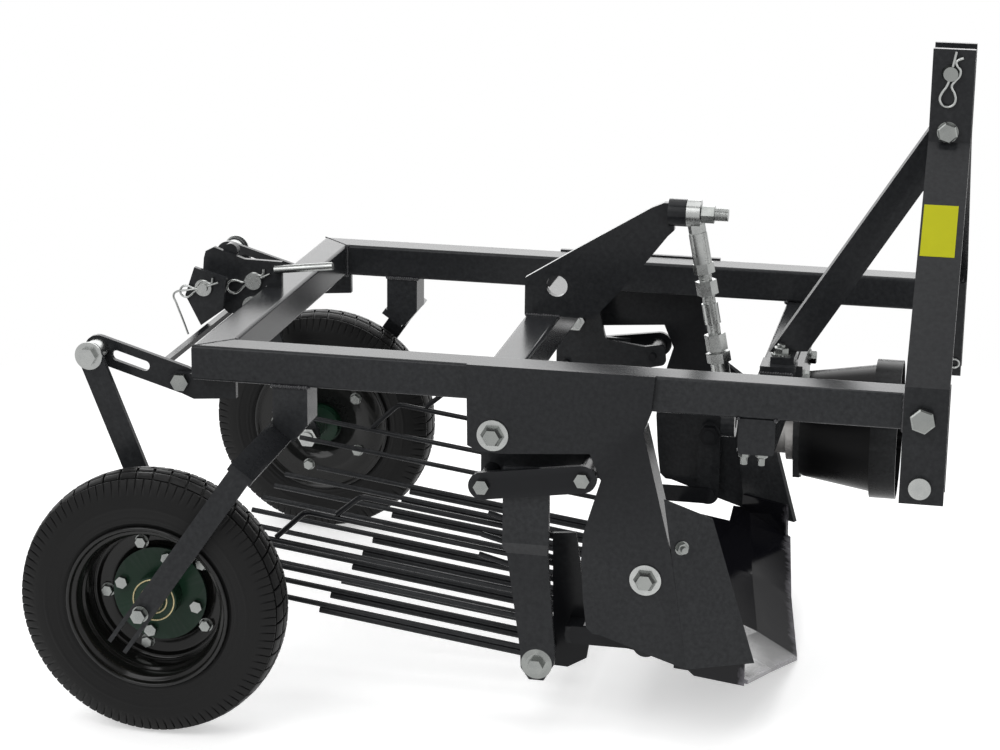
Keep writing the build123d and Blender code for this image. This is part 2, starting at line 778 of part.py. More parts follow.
# Wheel arms: a post under the rail, a mitred stub, a flat out to the side and a forked flat down to the axle
arm_run = Vector(arm_top[0] - wheel_x, 0, arm_top[1] + axle_drop)
arm_up = arm_run.normalized()
arm_cross = Vector(arm_up.Z, 0, -arm_up.X)
post_front = (164, -104)
post_rear = (126, -95)
stub_drop = 16
cross_width = 38
cross_rise = 17
fork_reach = 64
arm_outer = arm_y + arm_sheet
arm_end = Plane(origin=(datum_x + arm_top[0], 0, deck_z + arm_top[1]), x_dir=arm_cross, z_dir=arm_up)
arm_face = Plane(
    origin=(datum_x + wheel_x, arm_sheet - arm_outer, deck_z - axle_drop), x_dir=arm_up, z_dir=(0, -1, 0),
)
with BuildPart() as wheel_arm_right:
    with BuildSketch(side(-rail_inner)):
        with BuildLine():
            stub_rear = (post_rear[0] - stub_drop * arm_up.X, post_rear[1] - stub_drop * arm_up.Z)
            stub_front = (post_front[0] - 2 * stub_drop * arm_up.X, post_front[1] - 2 * stub_drop * arm_up.Z)
            Polyline((post_x, -tube), (post_x + tube, -tube), (post_x + tube, post_front[1]), stub_front,
                     stub_rear, (post_x, post_rear[1]), close=True)
        make_face()
    extrude(amount=tube)
    with BuildSketch(Plane(origin=arm_end.origin, x_dir=(0, 1, 0), z_dir=arm_cross).offset(-cross_width / 2)):
        with BuildLine():
            Polyline((-arm_outer, 0), (-arm_outer, -arm_sheet), (-rail_inner, cross_rise - arm_sheet),
                     (-rail_inner, cross_rise), close=True)
        make_face()
    extrude(amount=cross_width)
    with BuildSketch(arm_face):
        with Locations((-fork_reach, 0)):
            Rectangle(arm_run.length + fork_reach, arm_width, align=(Align.MIN, Align.CENTER))
        with Locations((-fork_reach, 0)):
            SlotCenterToCenter(2 * fork_reach, 2 * (axle_radius + running_fit), mode=Mode.SUBTRACT)
    extrude(amount=arm_sheet)
wheel_arm_left = left_copy(wheel_arm_right)
pieces["wheel_arm_right"] = wheel_arm_right
pieces["wheel_arm_left"] = wheel_arm_left

# Axles: spacers seat the stay, the hub and the arm; a washer and a head close the fork
hub_inner = 50
hub_outer = 5
with BuildPart() as axle:
    pin(wheel_x, -axle_drop, axle_radius, stay_y - collar - 4, arm_outer)
    nut(wheel_x, -axle_drop, pivot_head_radius, stay_y - collar, stay_y)
    pin(wheel_x, -axle_drop, collar_radius, stay_y + stay_sheet, wheel_y - hub_inner - seat_gap)
    pin(wheel_x, -axle_drop, collar_radius, wheel_y + hub_outer + seat_gap, arm_y)
    pin(wheel_x, -axle_drop, collar_radius + 4, arm_outer, arm_outer + washer)
    nut(wheel_x, -axle_drop, pivot_head_radius, arm_outer + washer, arm_outer + washer + pivot_head)
pieces["wheel_axles"] = both_sides(axle)

# Rear stays: a strap from each axle up to a bush on a slotted plate
bush_bolt = 8
with BuildPart() as stay_strap:
    link((wheel_x, -axle_drop), bush, stay_width, stay_y + stay_sheet, stay_sheet,
         [(wheel_x, -axle_drop, axle_radius + running_fit), (bush[0], bush[1], bush_bolt + running_fit)])
pieces["stay_straps"] = both_sides(stay_strap)

slot_y = rail_inner + 1
with BuildPart() as stay_bush:
    pin(bush[0], bush[1], bush_radius, slot_y + slot_sheet, stay_y)
    pin(bush[0], bush[1], bush_bolt, stay_y, stay_y + stay_sheet)
    bush_washer = stay_y + stay_sheet + washer
    pin(bush[0], bush[1], bush_radius + 4, stay_y + stay_sheet, bush_washer)
    nut(bush[0], bush[1], small_head_radius + 2, bush_washer, bush_washer + small_head)
pieces["stay_bushes"] = both_sides(stay_bush)

# The slot lies on the line from the bush to the pivot; a cross bar joins the two plates
slot_run = Vector(slot_pivot[0] - bush[0], slot_pivot[1] - bush[1])
slot_at = slot_run.normalized() * 50
slot_turn = degrees(atan2(slot_run.Y, slot_run.X))
slot_length = 58
tie_bar = ((-80, -70), (-62, -54.3))
with BuildPart() as slot_plate:
    link(bush, slot_pivot, 40, slot_y + slot_sheet, slot_sheet)
    with BuildSketch(side(-slot_y)):
        with Locations(Location((bush[0] + slot_at.X, bush[1] + slot_at.Y), slot_turn)):
            SlotOverall(slot_length, slot_width)
    extrude(amount=slot_sheet, mode=Mode.SUBTRACT)
with BuildPart() as slot_plates:
    add(slot_plate.part)
    mirror(slot_plate.part, about=Plane.XZ)
    box(tie_bar[0], (-slot_y - slot_sheet / 2, slot_y + slot_sheet / 2), tie_bar[1])
pieces["slot_plates"] = slot_plates

bracket_sheet = 10
bracket_face = slot_y + slot_sheet + bracket_sheet
with BuildPart() as adjuster_bracket:
    plate([(54, -tube), (-34, -tube), (-48, -58), (-46, -72), (-8, -87), (54, -82)],
          bracket_face, bracket_sheet)
    nut(slot_pivot[0], slot_pivot[1], small_head_radius + 2, bracket_face, bracket_face + small_head)
pieces["adjuster_brackets"] = both_sides(adjuster_bracket)

# Pin bracket on the rear beam: a gusset over its rear edge and a link plate on the same pin
rear_pin_radius = 7
gusset_face = -4
rear_sheet = 8
link_face = 34
gusset_outline = [
    (-96, 38), (-93, 49), (-80, 56), (-32, 40), (27, 39), (27, 0), (0, 0), (0, -46), (-58, -46), (-100, -10),
]
link_outline = [(-99, 32), (-114, -12), (-90, -58), (-55, -32), (-49, 18)]
link_pin = (-84, 2)
gusset_pins = [(-17, 7, 13), (-18, -32, 16)]
lift_rod = ((18, 28), (109, 39), 6)
with BuildPart() as rear_pin_bracket:
    plate(gusset_outline, gusset_face, rear_sheet,
          [(link_pin[0], link_pin[1], rear_pin_radius + running_fit)]
          + [(x, z, rear_pin_radius + running_fit) for x, z, head in gusset_pins])
    plate(link_outline, link_face, rear_sheet, [(link_pin[0], link_pin[1], rear_pin_radius + running_fit)])
    pin(-56, 50, 11, gusset_face - rear_sheet - 14, gusset_face - rear_sheet)
pieces["rear_pin_bracket"] = rear_pin_bracket

with BuildPart() as rear_pins:
    gusset_back = gusset_face - rear_sheet
    pin(link_pin[0], link_pin[1], rear_pin_radius, gusset_back - 10, link_face + 8)
    pin(link_pin[0], link_pin[1], 13, link_face, link_face + 5)
    for x, z, head in gusset_pins:
        pin(x, z, rear_pin_radius, gusset_back - 6, gusset_face)
        pin(x, z, head, gusset_face, gusset_face + 6)
    straight_bar(-gusset_face - lift_rod[2], lift_rod[0], lift_rod[1], lift_rod[2])
pieces["rear_pins"] = rear_pins

# Wheels: tyre, rim and hub turned about the axle
wheel_axis = Axis((datum_x + wheel_x, 0, deck_z - axle_drop), (0, 1, 0))
wheel_plane = Plane(origin=(datum_x + wheel_x, -wheel_y, deck_z - axle_drop), x_dir=(0, -1, 0), z_dir=(1, 0, 0))
rim_seat = rim_radius - 14
rim_half = rim_width / 2
rim_sheet = 3
bead = 7
disc_face = -29
disc_sheet = 5
disc_hole = 36
hub_flange = -22
hub_radius = 33
flange_radius = 68
rim_bolt_circle = 78
rim_bolt_count = 5
rim_bolt_start = 38
hub_bolt_circle = 56
hub_bolt_count = 4
hub_bolt_start = 76
wheel_bolt_radius = 9
crown = wheel_od / 2
shoulder = 30
bulge_radius = crown - 38
tyre_wall = 9

with BuildPart() as tyre_right:
    with BuildSketch(wheel_plane):
        with BuildLine():
            flange = rim_half - rim_sheet
            ThreePointArc((-shoulder, crown - 6), (0, crown), (shoulder, crown - 6))
            for hand in (-1, 1):
                ThreePointArc(
                    (hand * shoulder, crown - 6), (hand * tyre_width / 2, bulge_radius),
                    (hand * flange, rim_radius + 2),
                )
                Polyline(
                    (hand * flange, rim_radius + 2), (hand * flange, rim_seat), (hand * (flange - bead), rim_seat),
                )
                ThreePointArc(
                    (hand * (flange - bead), rim_seat), (hand * (tyre_width / 2 - tyre_wall), bulge_radius),
                    (hand * (shoulder - tyre_wall), crown - 6 - tyre_wall),
                )
            Line((tyre_wall - shoulder, crown - 6 - tyre_wall), (shoulder - tyre_wall, crown - 6 - tyre_wall))
        make_face()
    revolve(axis=wheel_axis)


def wheel_bolt_ring(face, pitch_radius, count, first):
    """Hexagon heads on a circle about the axle, standing outwards from a face of the right-hand wheel."""
    with BuildSketch(side(-wheel_y - face)) as profile:
        with Locations((wheel_x, -axle_drop)):
            with PolarLocations(pitch_radius, count, start_angle=first):
                RegularPolygon(wheel_bolt_radius, 6)
    extrude(profile.sketch, amount=small_head)


with BuildPart() as rim_right:
    with BuildSketch(wheel_plane):
        with BuildLine():
            barrel = rim_seat - rim_sheet
            Polyline(
                (-rim_half, rim_radius), (rim_sheet - rim_half, rim_radius), (rim_sheet - rim_half, rim_seat),
                (rim_half - rim_sheet, rim_seat), (rim_half - rim_sheet, rim_radius), (rim_half, rim_radius),
                (rim_half, barrel), (disc_face, barrel), (disc_face, disc_hole),
                (disc_face - disc_sheet, disc_hole), (disc_face - disc_sheet, barrel), (-rim_half, barrel),
                close=True,
            )
        make_face()
    revolve(axis=wheel_axis)
    wheel_bolt_ring(disc_face, rim_bolt_circle, rim_bolt_count, rim_bolt_start)

with BuildPart() as hub_right:
    with BuildSketch(wheel_plane):
        with BuildLine():
            Polyline(
                (-hub_inner, axle_radius + running_fit), (hub_outer, axle_radius + running_fit),
                (hub_outer, hub_radius), (hub_flange, hub_radius), (hub_flange, flange_radius),
                (disc_face + seat_gap, flange_radius), (disc_face + seat_gap, hub_radius),
                (-hub_inner, hub_radius),
                close=True,
            )
        make_face()
    revolve(axis=wheel_axis)
    wheel_bolt_ring(hub_flange, hub_bolt_circle, hub_bolt_count, hub_bolt_start)

for name, right in (("tyre", tyre_right), ("rim", rim_right), ("hub", hub_right)):
    pieces[f"{name}_right"] = right
    pieces[f"{name}_left"] = left_copy(right)

for node, piece in pieces.items():
    piece.part.label = node
    export_step(piece.part, f"parts/{node}.step")
    print(node, len(piece.part.solids()), round(piece.part.volume))
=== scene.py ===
import bpy
import bmesh
import json
import math
from mathutils import Euler, Matrix, Vector


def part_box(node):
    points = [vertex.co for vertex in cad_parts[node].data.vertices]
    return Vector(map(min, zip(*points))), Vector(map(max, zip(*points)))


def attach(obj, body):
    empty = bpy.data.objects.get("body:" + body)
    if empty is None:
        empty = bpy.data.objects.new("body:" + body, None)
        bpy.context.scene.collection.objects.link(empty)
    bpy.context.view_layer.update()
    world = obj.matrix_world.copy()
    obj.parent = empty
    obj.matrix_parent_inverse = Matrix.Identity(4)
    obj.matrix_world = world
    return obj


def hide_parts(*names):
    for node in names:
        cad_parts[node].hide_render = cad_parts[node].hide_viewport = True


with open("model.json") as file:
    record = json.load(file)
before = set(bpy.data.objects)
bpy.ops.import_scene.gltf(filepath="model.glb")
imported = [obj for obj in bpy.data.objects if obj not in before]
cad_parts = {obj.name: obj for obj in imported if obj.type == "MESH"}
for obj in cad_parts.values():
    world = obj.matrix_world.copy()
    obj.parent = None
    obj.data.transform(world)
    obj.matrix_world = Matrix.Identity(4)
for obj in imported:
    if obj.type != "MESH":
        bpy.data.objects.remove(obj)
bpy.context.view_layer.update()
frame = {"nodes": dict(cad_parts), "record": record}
railLow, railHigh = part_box("rail_right")
millimetre = 0.001


def at(x, y, z):
    # a place given in millimetres from the frame's rear top edge, as a point of the scene
    return Vector((railLow.x + x * millimetre, y * millimetre, railHigh.z + z * millimetre))


def aside(point, axis):
    # how far a point is from an axis that runs across the machine
    return math.hypot(point.x - axis.x, point.z - axis.z)


def dress(name, mesh, finish, body, replaced=()):
    # links a finished mesh, gives it its material and lets it ride on a body
    piece = bpy.data.objects.new(name, mesh)
    bpy.context.scene.collection.objects.link(piece)
    mesh.materials.clear()
    mesh.materials.append(finish)
    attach(piece, body)
    if replaced:
        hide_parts(*replaced)


class Value:
    # wraps one output socket, so that shader maths reads as plain expressions
    def __init__(self, tree, socket):
        self.tree = tree
        self.socket = socket

    def combine(self, operation, first, second=None):
        node = self.tree.nodes.new("ShaderNodeMath")
        node.operation = operation
        for slot, value in zip(node.inputs, (first, second)):
            if isinstance(value, Value):
                self.tree.links.new(value.socket, slot)
            elif value is not None:
                slot.default_value = value
        return Value(self.tree, node.outputs[0])

    def __add__(self, other):
        return self.combine("ADD", self, other)

    def __radd__(self, other):
        return self.combine("ADD", other, self)

    def __sub__(self, other):
        return self.combine("SUBTRACT", self, other)

    def __rsub__(self, other):
        return self.combine("SUBTRACT", other, self)

    def __mul__(self, other):
        return self.combine("MULTIPLY", self, other)

    def __rmul__(self, other):
        return self.combine("MULTIPLY", other, self)

    def __truediv__(self, other):
        return self.combine("DIVIDE", self, other)

    def __pow__(self, other):
        return self.combine("POWER", self, other)

    def larger(self, other):
        return self.combine("MAXIMUM", self, other)

    def clamped(self):
        return self.combine("MINIMUM", self.larger(0.0), 1.0)

    def absolute(self):
        return self.combine("ABSOLUTE", self)


class Nodes:
    # a shader tree, with one method for every node that is not plain maths
    def __init__(self, tree):
        self.tree = tree

    def put(self, socket, value):
        if isinstance(value, Value):
            self.tree.links.new(value.socket, socket)
        elif isinstance(value, tuple) and socket.type == "RGBA":
            socket.default_value = (*value, 1)
        else:
            socket.default_value = value

    def add(self, kind, settings=None, output=0, **sockets):
        # a socket goes by its identifier, with an underscore for each space
        node = self.tree.nodes.new(kind)
        for name, value in (settings or {}).items():
            setattr(node, name, value)
        inputs = {socket.identifier.replace(" ", "_"): socket for socket in node.inputs}
        for name, value in sockets.items():
            self.put(inputs[name], value)
        return Value(self.tree, node.outputs[output])

    def seen(self):
        # the rays that show a background: from the camera, off a glossy face and through a clear one
        rays = ("Is Camera Ray", "Is Glossy Ray", "Is Transmission Ray")
        return [self.add("ShaderNodeLightPath", output=ray) for ray in rays]


class Finish(Nodes):
    # a material on the piece's own coordinates
    def __init__(self, name):
        self.material = bpy.data.materials.new(name)
        self.material.use_nodes = True
        super().__init__(self.material.node_tree)
        self.shader = self.tree.nodes["Principled BSDF"]
        self.place = self.add("ShaderNodeTexCoord", output="Object")

    def noise(self, scale, detail, roughness, stretch=None):
        place = self.place
        if stretch:
            place = self.add("ShaderNodeMapping", Vector=self.place, Scale=stretch)
        return self.add("ShaderNodeTexNoise", Vector=place, Scale=scale, Detail=detail, Roughness=roughness)

    def along(self, axis):
        return self.add("ShaderNodeSeparateXYZ", output=axis, Vector=self.place)

    def mix(self, factor, first, second):
        return self.add(
            "ShaderNodeMix", {"data_type": "RGBA"}, output=2,
            Factor_Float=factor, A_Color=first, B_Color=second,
        )

    def bump(self, height, strength, distance):
        return self.add("ShaderNodeBump", Height=height, Strength=strength, Distance=distance)

    def finish(self, **sockets):
        for name, value in sockets.items():
            self.put(self.shader.inputs[name.replace("_", " ")], value)
        return self.material


paint = {
    # the colour of the painted highlight along the edges
    "edgeHighlight": (0.11, 0.115, 0.12),
    "cloudScale": 9.0,
    "speckScale": 160.0,
    "peelScale": 420.0,
    "waveScale": 38.0,
    "dusty": 0.32,  # how far the clouds reach from the colour to the dust
    "bumpStrength": 0.25,
    "bumpDepth": 0.00006,
}


def makePaint(name, colour, dust, roughness, gloss):
    # satin paint on steel: cloudy dust, fine orange peel, and a painted highlight along the edges
    coat = Finish(name)
    clouds = coat.noise(paint["cloudScale"], 4.0, 0.6)
    specks = coat.noise(paint["speckScale"], 3.0, 0.6)
    peel = coat.noise(paint["peelScale"], 2.0, 0.5)
    waves = coat.noise(paint["waveScale"], 2.0, 0.5)
    dusted = coat.mix(((clouds - 0.42) * 1.6).clamped() * paint["dusty"], colour, dust)
    crest = coat.add("ShaderNodeNewGeometry", output="Pointiness")
    # lighter colour on the convex edges: a painted highlight along them
    edge = ((crest - 0.53) * 9.0).clamped() * (specks * 0.7)
    return coat.finish(
        Base_Color=coat.mix(edge * 0.5, dusted, paint["edgeHighlight"]),
        Roughness=roughness + (clouds - 0.5) * 0.07 + (specks - 0.5) * 0.03,
        Specular_IOR_Level=gloss,
        Normal=coat.bump(peel * 0.6 + waves * 1.2, paint["bumpStrength"], paint["bumpDepth"]),
    )


metal = {
    "cloudScale": 55.0,
    "grainScale": 300.0,
    "dullScale": 900.0,
    "bumpStrength": 0.25,
    "bumpDepth": 0.0001,
}


def makeMetal(name, colour, tint, roughness):
    # plated or machined steel: passivated clouds, fine grain, dull specks
    plate = Finish(name)
    clouds = plate.noise(metal["cloudScale"], 4.0, 0.6)
    grain = plate.noise(metal["grainScale"], 3.0, 0.6)
    dull = plate.noise(metal["dullScale"], 2.0, 0.5)
    return plate.finish(
        Base_Color=plate.mix(((clouds - 0.4) * 2.2).clamped() * 0.6, colour, tint),
        Metallic=1.0,
        Roughness=roughness + (clouds - 0.5) * 0.25 + (dull - 0.5) * 0.1,
        Normal=plate.bump(grain, metal["bumpStrength"], metal["bumpDepth"]),
    )


lip = {
    "colour": (0.0045, 0.0045, 0.0065),
    "paintedReflection": (0.30, 0.29, 0.32),
    "depth": 0.012,  # how far back from the edge the painted reflection reaches
    "sweep": 0.14,  # how far the edge falls back for each metre to the side
    "patchScale": 24.0,
    "scratchScale": 90.0,
    "roughness": 0.12,
    "reflectionRoughness": 0.14,  # what the painted reflection adds to it
    "gloss": 0.22,
    "bumpStrength": 0.3,
    "bumpDepth": 0.0002,
}


def makeShare():
    # gloss black paint, with a painted reflection of the pale floor as a light grey band along the lip
    blade = Finish("sharePaint")
    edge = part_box("share")[1].x
    across = blade.along(1).absolute()
    forward = (blade.along(0) + across * lip["sweep"] - (edge - lip["depth"])) / lip["depth"]
    patches = blade.noise(lip["patchScale"], 5.0, 0.65)
    scratches = blade.noise(lip["scratchScale"], 3.0, 0.6, stretch=(0.25, 3.0, 1.0))
    # mask of the painted reflection along the lip, its edge broken by noise patches and scratches
    paintedReflection = (forward + (patches - 0.5) * 3.0 + (scratches - 0.5) * 1.6).clamped()
    return blade.finish(
        Base_Color=blade.mix(paintedReflection * 0.5, lip["colour"], lip["paintedReflection"]),
        Metallic=paintedReflection * 0.3,
        Roughness=lip["roughness"] + paintedReflection * lip["reflectionRoughness"] + (scratches - 0.5) * 0.10,
        Specular_IOR_Level=lip["gloss"],
        Normal=blade.bump(scratches + patches, lip["bumpStrength"], lip["bumpDepth"]),
    )


rubberLook = {
    "black": (0.0040, 0.0040, 0.0042),
    "grey": (0.0075, 0.0075, 0.0075),
    "cloudScale": 14.0,
    "grainScale": 700.0,
    "roughness": 0.44,
    "gloss": 0.18,
    "bumpStrength": 0.3,
    "bumpDepth": 0.00015,
}


def makeRubber():
    # dull black rubber, a little greyer in clouds
    rubber = Finish("tyreRubber")
    clouds = rubber.noise(rubberLook["cloudScale"], 4.0, 0.6)
    grain = rubber.noise(rubberLook["grainScale"], 3.0, 0.6)
    return rubber.finish(
        Base_Color=rubber.mix(clouds, rubberLook["black"], rubberLook["grey"]),
        Roughness=rubberLook["roughness"] + (clouds - 0.5) * 0.16,
        Specular_IOR_Level=rubberLook["gloss"],
        Normal=rubber.bump(grain, rubberLook["bumpStrength"], rubberLook["bumpDepth"]),
    )


brassLook = {"bright": (0.55, 0.47, 0.26), "dull": (0.36, 0.31, 0.20), "scale": 120.0, "roughness": 0.28}


def makeBrass():
    # the pale brass seal of the wheel bearing
    brass = Finish("bearingBrass")
    dull = brass.noise(brassLook["scale"], 3.0, 0.6)
    return brass.finish(
        Base_Color=brass.mix(dull, brassLook["bright"], brassLook["dull"]),
        Metallic=1.0,
        Roughness=brassLook["roughness"] + (dull - 0.5) * 0.2,
    )


filmLook = {
    "fresh": (0.50, 0.50, 0.006),
    "faded": (0.43, 0.43, 0.008),
    "scale": 30.0,
    "roughness": 0.5,
    "gloss": 0.12,
    "bumpStrength": 0.2,
    "bumpDepth": 0.0001,
}


def makeFilm():
    # a blank yellow sticker under its clear film
    film = Finish("yellowLabel")
    faded = film.noise(filmLook["scale"], 3.0, 0.6)
    return film.finish(
        Base_Color=film.mix(faded, filmLook["fresh"], filmLook["faded"]),
        Roughness=filmLook["roughness"] + (faded - 0.5) * 0.1,
        Specular_IOR_Level=filmLook["gloss"],
        Normal=film.bump(faded, filmLook["bumpStrength"], filmLook["bumpDepth"]),
    )


weldLook = {
    "dark": (0.010, 0.010, 0.012),
    "crest": (0.032, 0.033, 0.037),
    "rippleScale": 260.0,
    "roughness": 0.24,
    "bumpStrength": 0.4,
    "bumpDepth": 0.0002,
}


def makeBead():
    # painted weld beads, glossier than the plate round them
    weld = Finish("paintedWeld")
    ripple = weld.noise(weldLook["rippleScale"], 3.0, 0.6)
    return weld.finish(
        Base_Color=weld.mix(ripple, weldLook["dark"], weldLook["crest"]),
        Roughness=weldLook["roughness"] + (ripple - 0.5) * 0.15,
        Normal=weld.bump(ripple, weldLook["bumpStrength"], weldLook["bumpDepth"]),
    )


# name, colour, dust, roughness and gloss of each paint
paints = {
    "black_paint": ("blackPaint", (0.0085, 0.0090, 0.0105), (0.013, 0.0135, 0.015), 0.23, 0.16),
    "guard_plastic": ("guardPlastic", (0.0022, 0.0022, 0.0026), (0.0045, 0.0045, 0.0045), 0.28, 0.10),
    "rim_paint": ("rimPaint", (0.0075, 0.0075, 0.0070), (0.012, 0.012, 0.011), 0.12, 0.27),
    "hub_paint": ("hubPaint", (0.010, 0.036, 0.019), (0.016, 0.050, 0.030), 0.22, 0.16),
}
# name, colour, tint of the clouds and roughness of each bare or plated metal
metals = {
    "zinc": ("zincPlate", (0.42, 0.43, 0.42), (0.28, 0.29, 0.29), 0.27),
    "bare_steel": ("bareSteel", (0.42, 0.41, 0.40), (0.30, 0.29, 0.28), 0.38),
    "bolt": ("boltZinc", (0.27, 0.28, 0.27), (0.18, 0.19, 0.19), 0.25),
}
materials = {slot: makePaint(*row) for slot, row in paints.items()}
materials.update((slot, makeMetal(*row)) for slot, row in metals.items())
materials.update({
    "share_paint": makeShare(),
    "tyre_rubber": makeRubber(),
    "ring": makeBrass(),
    "label": makeFilm(),
    "weld": makeBead(),
})
# the record's slot that each finish stands for
for part in frame["record"]["subparts"]:
    finish = materials[part["material_slot"]]
    solid = frame["nodes"][part["node"]].data
    solid.materials.clear()
    solid.materials.append(finish)
print("finishes on the solids")


class Geometry:
    # a geometry node tree with named inputs, and one method for all of its nodes
    def __init__(self, name, **inputs):
        self.tree = bpy.data.node_groups.new(name, "GeometryNodeTree")
        face = self.tree.interface
        face.new_socket("Geometry", in_out="INPUT", socket_type="NodeSocketGeometry")
        kinds = {int: "Int", float: "Float", bpy.types.Material: "Material", bpy.types.Object: "Object"}
        for label, value in inputs.items():
            kind = next(word for form, word in kinds.items() if isinstance(value, form))
            face.new_socket(label, in_out="INPUT", socket_type=f"NodeSocket{kind}")
        face.new_socket("Geometry", in_out="OUTPUT", socket_type="NodeSocketGeometry")
        self.values = inputs
        self.given = self.tree.nodes.new("NodeGroupInput")
        self.result = self.tree.nodes.new("NodeGroupOutput")

    def input(self, label):
        return self.given.outputs[label]

    def put(self, socket, value):
        if isinstance(value, bpy.types.NodeSocket):
            self.tree.links.new(value, socket)
        else:
            socket.default_value = value

    def add(self, kind, settings=None, output=0, **sockets):
        node = self.tree.nodes.new(kind)
        for name, value in (settings or {}).items():
            setattr(node, name, value)
        for name, value in sockets.items():
            for source in value if isinstance(value, list) else [value]:
                self.put(node.inputs[name.replace("_", " ")], source)
        return node.outputs[output]

    def maths(self, operation, first, second):
        node = self.tree.nodes.new("ShaderNodeMath")
        node.operation = operation
        self.put(node.inputs[0], first)
        self.put(node.inputs[1], second)
        return node.outputs[0]

    def raised(self, geometry, height):
        lift = self.add("ShaderNodeCombineXYZ", Z=height)
        return self.add("GeometryNodeTransform", Geometry=geometry, Translation=lift)

    def close(self, geometry, material):
        real = self.add("GeometryNodeRealizeInstances", Geometry=geometry)
        painted = self.add("GeometryNodeSetMaterial", Geometry=real, Material=material)
        self.tree.links.new(painted, self.result.inputs[0])

    def grow(self, name, seed):
        # runs the tree on a seed mesh and returns the result as a plain mesh
        holder = bpy.data.objects.new(name, seed)
        bpy.context.scene.collection.objects.link(holder)
        modifier = holder.modifiers.new(name, "NODES")
        modifier.node_group = self.tree
        for socket in self.tree.interface.items_tree:
            if socket.in_out == "INPUT" and socket.name in self.values:
                modifier[socket.identifier] = self.values[socket.name]
        return evaluated(name, holder)


def evaluated(name, holder):
    # a holder's final shape as a plain mesh; the holder itself goes
    bpy.context.view_layer.update()
    mesh = bpy.data.meshes.new_from_object(holder.evaluated_get(bpy.context.evaluated_depsgraph_get()))
    bpy.data.objects.remove(holder)
    mesh.name = name
    return mesh


def seedMesh(name, points, edges=(), facing=None):
    # places for a tree to work on, with the direction in which each one faces
    mesh = bpy.data.meshes.new(name)
    mesh.from_pydata(points, edges, [])
    if facing:
        directions = mesh.attributes.new("facing", "FLOAT_VECTOR", "POINT")
        for slot, direction in zip(directions.data, facing):
            slot.vector = direction
    return mesh


def arcThrough(first, middle, last, count):
    # points along the circle through three points of a profile
    (ax, ay), (bx, by), (cx, cy) = first, middle, last
    span = 2 * (ax * (by - cy) + bx * (cy - ay) + cx * (ay - by))
    squares = [x * x + y * y for x, y in (first, middle, last)]
    centreX = (squares[0] * (by - cy) + squares[1] * (cy - ay) + squares[2] * (ay - by)) / span
    centreY = (squares[0] * (cx - bx) + squares[1] * (ax - cx) + squares[2] * (bx - ax)) / span
    radius = math.hypot(ax - centreX, ay - centreY)
    start = math.atan2(ay - centreY, ax - centreX)
    turn = math.atan2(cy - centreY, cx - centreX) - start
    angles = [start + turn * step / count for step in range(count + 1)]
    return [(centreX + radius * math.cos(angle), centreY + radius * math.sin(angle)) for angle in angles]


def finished(name, shell, smooth=False):
    # a bmesh with outward normals, as a plain mesh
    bmesh.ops.recalc_face_normals(shell, faces=shell.faces)
    for face in shell.faces:
        face.smooth = smooth
    mesh = bpy.data.meshes.new(name)
    shell.to_mesh(mesh)
    shell.free()
    return mesh


def turned(name, profile, segments):
    # a closed profile of (y, radius) in millimetres, turned about the Y axis
    shell = bmesh.new()
    rings = []
    for segment in range(segments):
        angle = 2 * math.pi * segment / segments
        rings.append([
            shell.verts.new((math.sin(angle) * radius / 1000, y / 1000, math.cos(angle) * radius / 1000))
            for y, radius in profile
        ])
    for index, ring in enumerate(rings):
        following = rings[(index + 1) % segments]
        for point in range(len(ring)):
            after = (point + 1) % len(ring)
            shell.faces.new((ring[point], ring[after], following[after], following[point]))
    return finished(name, shell, smooth=True)


sides = (("right", -1), ("left", 1))

# Millimetres; points of the section are (y from the wheel's middle plane, radius)
tyre = {
    "centre": (-28.0, 447.0, -342.0),
    "crown": 190.0,
    "shoulder": (30.0, 184.0),
    "bulge": (39.0, 152.0),
    "bead": (32.0, 116.0),
    "inside": [(32.0, 112.0), (25.0, 112.0), (30.0, 152.0), (21.0, 172.0), (0.0, 176.0)],
    "crownStep": 3,
    "wallSteps": 34,
    "segments": 192,
    "rings": (124.0, 129.0, 146.0),  # raised rings on the wall
    "ringHeight": 1.0,
    "ringHalf": 1.3,
}

# Millimetres; lengths along the tread are shares of a pitch
tread = {
    "pitches": 48,
    "depth": 4.0,
    "wallDepth": 2.6,
    "lugEnd": 162.0,  # radius at which the shoulder lugs run out
    "lugStart": 28.0,
    "ribs": (  # from y, to y, length, offset
        (-6.5, 6.5, 0.86, 0.35),
        (9.0, 25.5, 0.88, 0.0),
        (-25.5, -9.0, 0.88, 0.5),
    ),
    "ribSteps": 4,
    "slant": 0.12,
    "lugOffsets": (0.0, 0.5),
    "lugTop": (0.0, 0.46),
    "lugTip": (0.07, 0.39),
    "edge": 0.05,
    "chamfer": 0.7,
    "taper": 0.985,
    "ribRoot": 1.0,
    "lugRoot": 1.5,
    "runOut": 1.6,  # how fast the lugs' height grows from their ends, against an even slope
    "floor": 0.8,  # share of the lugs' height by which the carcass lies lower between them
    "sunkAcross": 0.55,
    "sunkTop": 0.85,
    "sunkWall": 0.3,
    "topFrom": 165.0,
}


def crownRadius(y):
    half, edge = tyre["shoulder"]
    radius = (half * half + (tyre["crown"] - edge) ** 2) / (2 * (tyre["crown"] - edge))
    return tyre["crown"] - radius + math.sqrt(radius * radius - y * y)


def grooveDepth(radius):
    # full at the shoulder, running out where the lugs end on the wall
    share = (radius - tread["lugEnd"]) / (tyre["shoulder"][1] - tread["lugEnd"])
    return tread["wallDepth"] * max(0.0, min(1.0, share * tread["runOut"]))


def wallPoints():
    return arcThrough(tyre["shoulder"], tyre["bulge"], tyre["bead"], tyre["wallSteps"])


